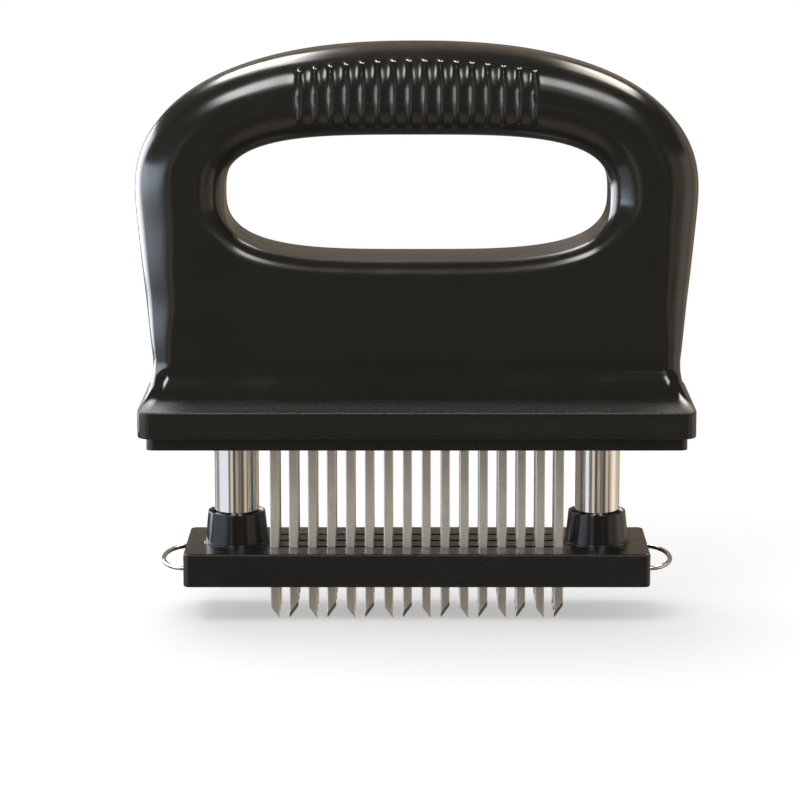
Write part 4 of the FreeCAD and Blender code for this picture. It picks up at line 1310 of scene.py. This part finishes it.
@dataclass
class GuardPlate:
    """The slotted plate that lies on the meat, with a conical collar for each post.

    bead_run is where the cone starts, out from its base and up from the bead, and lip_turns are the
    angles in degrees where the lip's rounding starts outside and ends inside. slot_corner is a
    share of the slot's width.
    """

    thickness: float = 9.0 * MM
    corner: float = 1.6 * MM
    edge: float = 0.6 * MM
    slot_width: float = 1.7 * MM
    slot_half: float = 39.2 * MM
    slot_break: float = 0.07 * MM
    slot_corner: float = 0.45
    row_pitch: float = 7.5 * MM
    post_x: float = 48.3 * MM
    bore: float = 6.05 * MM
    seat_floor: float = 1.5 * MM
    collar_height: float = 8.5 * MM
    collar_top: float = 7.65 * MM
    collar_base: float = 8.5 * MM
    bead: float = 0.50 * MM
    bead_rise: float = 0.34 * MM
    bead_round: float = 0.17 * MM
    bead_run: tuple[Pair, ...] = ((-0.02 * MM, 0.0), (-0.05 * MM, 0.25 * MM))
    lip: float = 0.55 * MM
    lip_round: float = 0.22 * MM
    lip_turns: Pair = (4.0, 155.0)
    mouth_depth: float = 2.2 * MM
    clip_wire: float = 0.625 * MM
    clip_gap: float = 0.15 * MM
    clip_leg_y: float = 5.585 * MM
    clip_loop_half: float = 13.3 * MM
    clip_bend: float = 2.0 * MM
    clip_cut: float = 0.6 * MM
    segments: int = 96
    edge_steps: int = 6
    corner_steps: int = 8
    slot_steps: int = 5
    bead_steps: int = 4
    lip_steps: tuple[int, int] = (5, 4)

    def plate(self, half_x: float, half_y: float) -> Surface:
        """The plate about Z from 0: edges of quarter circles, slots and room for the collars."""
        turn = np.linspace(0, np.pi / 2, self.edge_steps + 1)
        low = [(self.edge * (1 - np.sin(t)), self.edge * (1 - np.cos(t))) for t in turn]
        rows = low + [(inset, self.thickness - z) for inset, z in low[::-1]]
        wall = np.stack([raised(rounded_outline(half_x - inset, half_y - inset, self.corner - inset,
                                                self.corner_steps), z) for inset, z in rows])
        edge_loop = wall[0, :, :2]
        parts = [Surface.grid(wall, closed=True)]
        openings = []
        half, corner = self.slot_width / 2, self.slot_corner * self.slot_width
        levels = ((self.slot_break, 0.0), (0.0, self.slot_break),
                  (0.0, self.thickness - self.slot_break), (self.slot_break, self.thickness))
        loops = [(rounded_outline(self.slot_half + grow, half + grow, corner + grow,
                                  self.slot_steps), z) for grow, z in levels]
        for row in (-1, 0, 1):
            middle = [0, row * self.row_pitch]
            slot = np.stack([raised(loop + middle, z) for loop, z in loops])
            parts.append(Surface.grid(slot, closed=True).flipped())
            openings.append(slot[0, :, :2])
        turn = np.linspace(0, 2 * np.pi, self.segments, endpoint=False)
        ring = (self.collar_base + self.bead) * np.column_stack([np.cos(turn), np.sin(turn)])
        rings = [ring + [side.value * self.post_x, 0] for side in Side]
        parts.append(flat_face([edge_loop] + openings, 0.0, up=False))
        parts.append(flat_face([edge_loop] + openings + rings, self.thickness, up=True))
        return Surface.joined(parts)

    def collar(self) -> Surface:
        """A collar about its axis, from its bead over its lip and down into the post's bore."""
        top, base, height = self.collar_top, self.collar_base, self.collar_height
        soft, fine = self.lip_round, self.bead_round
        start, end = self.lip_turns
        floor = self.seat_floor - self.thickness
        bead = arc((base + self.bead - fine, self.bead_rise - fine), fine, 0, 90, self.bead_steps)
        cone = [(base + out, self.bead_rise + up) for out, up in self.bead_run]
        rise = arc((top - soft, height - soft), soft, start, 90, self.lip_steps[0])
        fall = arc((top - self.lip + soft, height - soft), soft, 90, end, self.lip_steps[1])
        bore = [(self.bore, height - self.mouth_depth), (self.bore, floor), (0.0, floor)]
        foot = [(base + self.bead, 0.0), (base + self.bead, self.bead_rise - fine)]
        profile = np.concatenate([foot, bead, cone, rise, fall, bore])
        return revolved(profile, (0, 0, 0), self.segments)

    def clip_slits(self, half_x: float, level: float) -> list[Surface]:
        """The slits for the wire clips: narrow beside the post, wide at the plate's end."""
        half = self.clip_wire + self.clip_gap
        past_post = self.post_x + self.bore + OVERRUN
        spans = ((self.post_x - self.bore - self.clip_cut, past_post, self.clip_leg_y + half),
                 (past_post - self.clip_bend, half_x + OVERRUN, self.clip_loop_half + half))
        found = []
        for side in Side:
            for start, stop, reach in spans:
                low, high = sorted((side.value * start, side.value * stop))
                found.append(block((low, -reach, level - half), (high, reach, level + half)))
        return found

    def make(self) -> bpy.types.Object:
        """Makes the guard plate in place of the frame's."""
        low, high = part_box("guard_plate")
        collar = self.collar().moved((0, 0, self.thickness))
        collars = Surface.joined([collar.moved((side.value * self.post_x, 0, 0)) for side in Side])
        made = piece("guard", [(self.plate(high.x, high.y).moved((0, 0, low.z)), GUARD_PLASTIC),
                               (collars.moved((0, 0, low.z)), COLLAR_PLASTIC)])
        carve(made, self.clip_slits(high.x, low.z + self.thickness / 2), crossing=True)
        weigh_normals(made)
        return settle(made, "guard", "guard_plastic", "guard_plate")


# --- springs ------------------------------------------------------------------------------------


@dataclass
class Springs:
    """The two compression springs, hidden in the posts and the handle's barrels."""

    turns: int = 13
    wire: float = 1.1 * MM
    steps: int = 28
    sides: int = 8
    sharp: float = 60.0
    pressed_share: float = 0.69

    def make(self) -> list[bpy.types.Object]:
        """Makes both springs: a helix whose ends lie a wire's radius inside the frame's box."""
        made = []
        for side in Side:
            name = side.name.lower()
            low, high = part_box(f"spring_{name}")
            middle = (low.x + high.x) / 2
            turn = np.linspace(0, 2 * np.pi * self.turns, self.turns * self.steps + 1)
            radius = (high.x - low.x) / 2 - self.wire / 2
            height = high.z - low.z - self.wire
            path = np.column_stack([middle + radius * np.cos(turn), radius * np.sin(turn),
                                    low.z + self.wire / 2 + height * turn / turn[-1]])
            coil = tube(path, self.wire / 2, self.sides)
            spring = piece(f"coil_{name}", [(coil, SPRING_STEEL)], self.sharp)
            settle(spring, "handle", "spring_steel", f"spring_{name}")
            made.append(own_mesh(spring))
        return made


# --- placing ------------------------------------------------------------------------------------


def settle(made: bpy.types.Object, body: str, slot: str, *nodes: str) -> bpy.types.Object:
    """Puts a finished piece on its body, in place of frame nodes.

    Args:
        made: The piece.
        body: The body it moves with.
        slot: The material slot meant for its finish; not used.
        nodes: The frame nodes it stands for.

    Returns:
        The piece.
    """
    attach(made, body)
    if nodes:
        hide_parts(*nodes)
    LOG.info("%s: %d faces on %s", made.name, len(made.data.polygons), body)
    return made


# --- studio -------------------------------------------------------------------------------------


@dataclass(frozen=True)
class Softbox:
    """A soft lamp round the tool, turned to its middle."""

    name: str
    place: Triple
    width: float
    height: float
    power: float
    colour: Colour = WHITE


class Aim(Enum):
    """How a reflected panel's place is given.

    WALL: the first range is the bearing from the front towards +X, the second the elevation, both
    in degrees.
    CEILING: places on a level ceiling one unit over the tool; the first range is X, the second the
    distance towards the front.
    """

    WALL = "wall"
    CEILING = "ceiling"


@dataclass(frozen=True)
class Panel:
    """A soft-edged panel of the surround, which only reflections show.

    soft is the half width of its edges in each range's units, and rise is how far a panel's second
    range moves for each unit along its first.
    """

    aim: Aim
    first: Pair
    second: Pair
    strength: float
    colour: Colour
    soft: Pair
    rise: float = 0.0


@dataclass(frozen=True)
class Card:
    """An upright card beside the tool that only reflections show.

    It stands across X at x, from one y and z to the other. Its glow goes from the first of glow to
    the second between the two levels, and from none to all of it between the two places of fade
    along Y.
    """

    name: str
    colour: Colour
    x: float
    y: Pair
    z: Pair
    fade: Pair
    glow: Pair
    levels: Pair


COOL = (0.88, 0.94, 1.0)
SKY = (0.76, 0.87, 1.0)
NEUTRAL = (1.0, 0.985, 0.97)
CREAM = (1.0, 0.93, 0.82)
BEIGE = (1.0, 0.88, 0.73)
TAN = (1.0, 0.78, 0.56)


@dataclass
class Studio:
    """Camera, lamps, surround and floor.

    Angles are in degrees, and the lens and the sensor in millimetres. even_light is what the object
    gets from all sides and surround what it mirrors from there. The ceiling's panels come up while
    the height of the mirrored direction, a unit vector, goes through horizon. The floor turns into
    the white surround between the distances of floor_fade, and floor_glow brightens it for the
    camera.
    """

    lens: float = 151.8
    sensor: float = 36.0
    clip_start: float = 0.01
    pitch: float = 10.35
    distance: float = 0.900
    target_z: float = 57.96 * MM
    shift: float = -0.021
    floor_z: float = -0.2 * MM
    floor_size: float = 6.0
    floor_fade: Pair = (0.10, 0.22)
    floor_colour: Colour = (0.82, 0.82, 0.82)
    floor_glow: float = 0.40
    lamps_aim: Triple = (0.0, 0.0, 0.09)
    even_light: float = 0.40
    surround: float = 0.10
    horizon: Pair = (0.02, 0.08)
    lamps_on: tuple[Softbox, ...] = (
        Softbox("overhead", (-0.15, 0.25, 0.80), 0.60, 0.40, 2.2),
        Softbox("front_top", (-0.25, -0.60, 0.75), 0.50, 0.30, 2.2),
        Softbox("left", (-0.75, -0.40, 0.30), 0.30, 0.50, 1.2, COOL),
        Softbox("right", (0.80, -0.30, 0.30), 0.30, 0.50, 0.7, BEIGE),
    )
    panels: tuple[Panel, ...] = (
        Panel(Aim.CEILING, (-0.62, -0.25), (0.64, 1.55), 17.0, NEUTRAL, (0.08, 0.12), -0.50),
        Panel(Aim.CEILING, (0.24, 0.70), (0.80, 1.75), 11.0, NEUTRAL, (0.10, 0.15)),
        Panel(Aim.CEILING, (0.30, 1.10), (1.80, 3.60), 1.2, NEUTRAL, (0.15, 0.30)),
        Panel(Aim.CEILING, (-0.58, -0.20), (-1.30, -0.34), 18.0, NEUTRAL, (0.08, 0.08), 1.05),
        Panel(Aim.CEILING, (0.39, 0.74), (-1.10, -0.22), 16.0, CREAM, (0.10, 0.08)),
        Panel(Aim.CEILING, (-0.24, 0.38), (-2.20, -0.50), 0.4, TAN, (0.12, 0.12)),
        Panel(Aim.WALL, (-180, -146), (-12.9, -10.9), 1.2, NEUTRAL, (2.0, 0.3)),
        Panel(Aim.WALL, (-180, -160), (-2, 24), 0.2, TAN, (4.0, 3.0)),
        Panel(Aim.WALL, (-137, -114), (-12.9, -11.0), 0.66, COOL, (2.0, 0.4)),
        Panel(Aim.WALL, (-110, -97), (-24, 10), 0.30, COOL, (2.0, 3.0)),
        Panel(Aim.WALL, (-47, -32), (-24, 10), 0.12, NEUTRAL, (1.5, 3.0)),
        Panel(Aim.WALL, (-29, -15), (-24, 6), 0.68, BEIGE, (2.0, 3.0)),
        Panel(Aim.WALL, (-2, 13), (-12.5, -11.1), 0.66, BEIGE, (3.0, 0.2)),
        Panel(Aim.WALL, (16, 28), (-30, 14), 0.12, BEIGE, (2.0, 3.0)),
        Panel(Aim.WALL, (41, 57), (-30, 14), 0.55, TAN, (3.0, 3.0)),
        Panel(Aim.WALL, (57, 65), (-10.7, 14), 0.50, TAN, (3.0, 0.25)),
        Panel(Aim.WALL, (65, 78), (-30, 14), 0.50, BEIGE, (3.0, 3.0)),
        Panel(Aim.WALL, (78, 107), (-30, 14), 0.95, CREAM, (2.5, 3.0)),
        Panel(Aim.WALL, (107, 145), (-30, 25), 0.60, TAN, (3.0, 3.0)),
        Panel(Aim.WALL, (145, 180), (-30, 24), 0.2, TAN, (3.0, 3.0)),
        Panel(Aim.WALL, (-75, 60), (-78, -46), 0.42, TAN, (20.0, 9.0)),
    )
    cards: tuple[Card, ...] = (
        Card("low_card", COOL, x=-0.45, y=(-0.50, 0.04), z=(-0.20, -0.01), fade=(-0.52, -0.49),
             glow=(1.05, 1.05), levels=(-0.20, -0.01)),
        Card("left_card", SKY, x=-0.45, y=(-1.00, 0.12), z=(-0.01, 0.17), fade=(-0.88, -0.24),
             glow=(1.15, 5.8), levels=(0.0, 0.10)),
        Card("rim_card", COOL, x=-0.45, y=(0.12, 0.75), z=(-0.027, 0.30), fade=(0.12, 0.18),
             glow=(7.5, 7.5), levels=(-0.027, 0.30)),
    )

    def camera(self) -> None:
        """The camera, in front of the tool and a little over it, looking down by its pitch."""
        angle = math.radians(self.pitch)
        data = bpy.data.cameras.new("camera")
        data.lens, data.sensor_width, data.shift_x = self.lens, self.sensor, self.shift
        data.clip_start = self.clip_start
        camera = placed("camera", data)
        camera.location = (0, -self.distance * math.cos(angle),
                           self.target_z + self.distance * math.sin(angle))
        camera.rotation_euler = (math.pi / 2 - angle, 0, 0)
        bpy.context.scene.camera = camera

    def lamps(self) -> None:
        """The soft lamps, which reflections leave to the panels."""
        for box in self.lamps_on:
            data = bpy.data.lights.new(box.name, "AREA")
            data.shape, data.size, data.size_y = "RECTANGLE", box.width, box.height
            data.energy, data.color = box.power, box.colour
            lamp = placed(box.name, data)
            lamp.location = box.place
            towards = Vector(self.lamps_aim) - lamp.location
            lamp.rotation_euler = towards.to_track_quat("-Z", "Y").to_euler()
            lamp.visible_glossy = False

    def world(self) -> None:
        """A white surround for the camera, an even one for light, and the panels' reflections."""
        world = bpy.data.worlds.new("surround")
        world.use_nodes = True
        bpy.context.scene.world = world
        graph = Graph(world.node_tree)
        direction = graph.node("ShaderNodeTexCoord").outputs["Generated"]
        x, y, z = graph.parts(direction)
        ahead = 0 - y
        bearing = x.apply("ARCTAN2", ahead) * math.degrees(1)
        elevation = z.apply("ARCSINE") * math.degrees(1)
        over = graph.step(z, *self.horizon)
        level = toned(BEIGE, self.surround)
        for panel in self.panels:
            wall = panel.aim is Aim.WALL
            along, across, mask = (bearing, elevation, 1.0) if wall else (x / z, ahead / z, over)
            if panel.rise:
                across = across - (along - sum(panel.first) / 2) * panel.rise
            for axis, span, soft in ((along, panel.first, panel.soft[0]),
                                     (across, panel.second, panel.soft[1])):
                inside, outside = (graph.step(axis, end - soft, end + soft) for end in span)
                mask = inside * (1 - outside) * mask
            level = graph.blend(mask, level, toned(panel.colour, panel.strength), "ADD")
        rays = graph.node("ShaderNodeLightPath").outputs
        seen = Value(graph, rays["Is Camera Ray"])
        strength = self.even_light + seen * (1 - self.even_light)
        even = graph.shader("ShaderNodeBackground", WHITE, strength)
        mirrored = graph.shader("ShaderNodeBackground", level, 1.0)
        graph.end(graph.choose(rays["Is Glossy Ray"], even, mirrored), "World")

    def floor(self) -> None:
        """A pale floor that turns into the white surround; reflections look past it."""
        material, graph = new_material("floor")
        rays = graph.node("ShaderNodeLightPath").outputs
        seen = Value(graph, rays["Is Camera Ray"])
        diffuse = graph.shader("ShaderNodeBsdfDiffuse", self.floor_colour)
        glow = graph.shader("ShaderNodeEmission", WHITE, seen * self.floor_glow)
        lit = graph.node("ShaderNodeAddShader", None, {0: diffuse, 1: glow}).outputs[0]
        away = graph.value("ShaderNodeVectorMath", {"operation": "LENGTH"}, {0: graph.place()},
                           "Value")
        white = graph.shader("ShaderNodeEmission", WHITE, 1.0)
        faded = graph.choose(graph.step(away, *self.floor_fade) * seen, lit, white)
        clear = graph.node("ShaderNodeBsdfTransparent").outputs[0]
        graph.end(graph.choose(rays["Is Glossy Ray"], faded, clear))
        half = self.floor_size / 2
        floor = self.sheet("floor", [(x * half, y * half, self.floor_z) for x, y in
                                     ((-1, -1), (1, -1), (1, 1), (-1, 1))], material)

    def stand(self, card: Card) -> None:
        """Stands a card: its glow is (low + (high - low) * a smooth rise with Z) * a fade."""
        material, graph = new_material(card.name)
        material.cycles.emission_sampling = "NONE"
        _, along, up = graph.parts(graph.place())
        low, high = card.glow
        rise = low + graph.step(up, *card.levels) * (high - low)
        strength = rise * graph.step(along, *card.fade)
        graph.end(graph.shader("ShaderNodeEmission", card.colour, strength))
        made = self.sheet(card.name, [(card.x, card.y[n], card.z[m]) for n, m in
                                      ((0, 0), (1, 0), (1, 1), (0, 1))], material)
        made.visible_camera = made.visible_diffuse = made.visible_shadow = False
        made.visible_transmission = made.visible_volume_scatter = False

    @staticmethod
    def sheet(name: str, corners: Sequence[Triple],
              material: bpy.types.Material) -> bpy.types.Object:
        """A flat sheet between four corners."""
        mesh = bpy.data.meshes.new(name)
        mesh.from_pydata(corners, [], [(0, 1, 2, 3)])
        mesh.materials.append(material)
        return placed(name, mesh)

    def make(self) -> None:
        """Sets up the whole studio."""
        bpy.context.scene.view_settings.view_transform = "Standard"
        self.camera()
        self.lamps()
        self.world()
        self.floor()
        for card in self.cards:
            self.stand(card)


# --- frame nodes --------------------------------------------------------------------------------

NODE_FINISHES = {
    "handle_front_shell": HANDLE_PLASTIC,
    "handle_rear_shell": HANDLE_PLASTIC,
    "handle_screws": SCREW_STEEL,
    "blade_carrier": CARRIER_PLASTIC,
    "carrier_screws": SCREW_STEEL,
    "blade_row": BLADE_STEEL,
    "blade_clamp_plate": PLATE_STEEL,
    "clamp_screws": SCREW_STEEL,
    "guard_plate": GUARD_PLASTIC,
    "post": POST_CHROME,
    "clip": CLIP_WIRE,
    "spring": SPRING_STEEL,
    "retaining_ring": SPRING_STEEL,
    "stop_washer": WASHER_NYLON,
}


def dress_nodes(nodes: Mapping[str, bpy.types.Object]) -> None:
    """Gives each frame node the finish that the start of its name stands for."""
    for name, node in nodes.items():
        for start, finish in NODE_FINISHES.items():
            if name.startswith(start):
                node.material_slots[0].link = "OBJECT"
                node.material_slots[0].material = finish.material()


def main() -> None:
    """Builds the tenderizer and its studio."""
    logging.basicConfig(level=logging.INFO, format="%(name)s: %(message)s")
    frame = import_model()
    Studio().make()
    dress_nodes(frame["nodes"])
    Handle().make()
    Blades().make()
    GuardPlate().make()
    Springs().make()


if __name__ == "__main__":
    main()
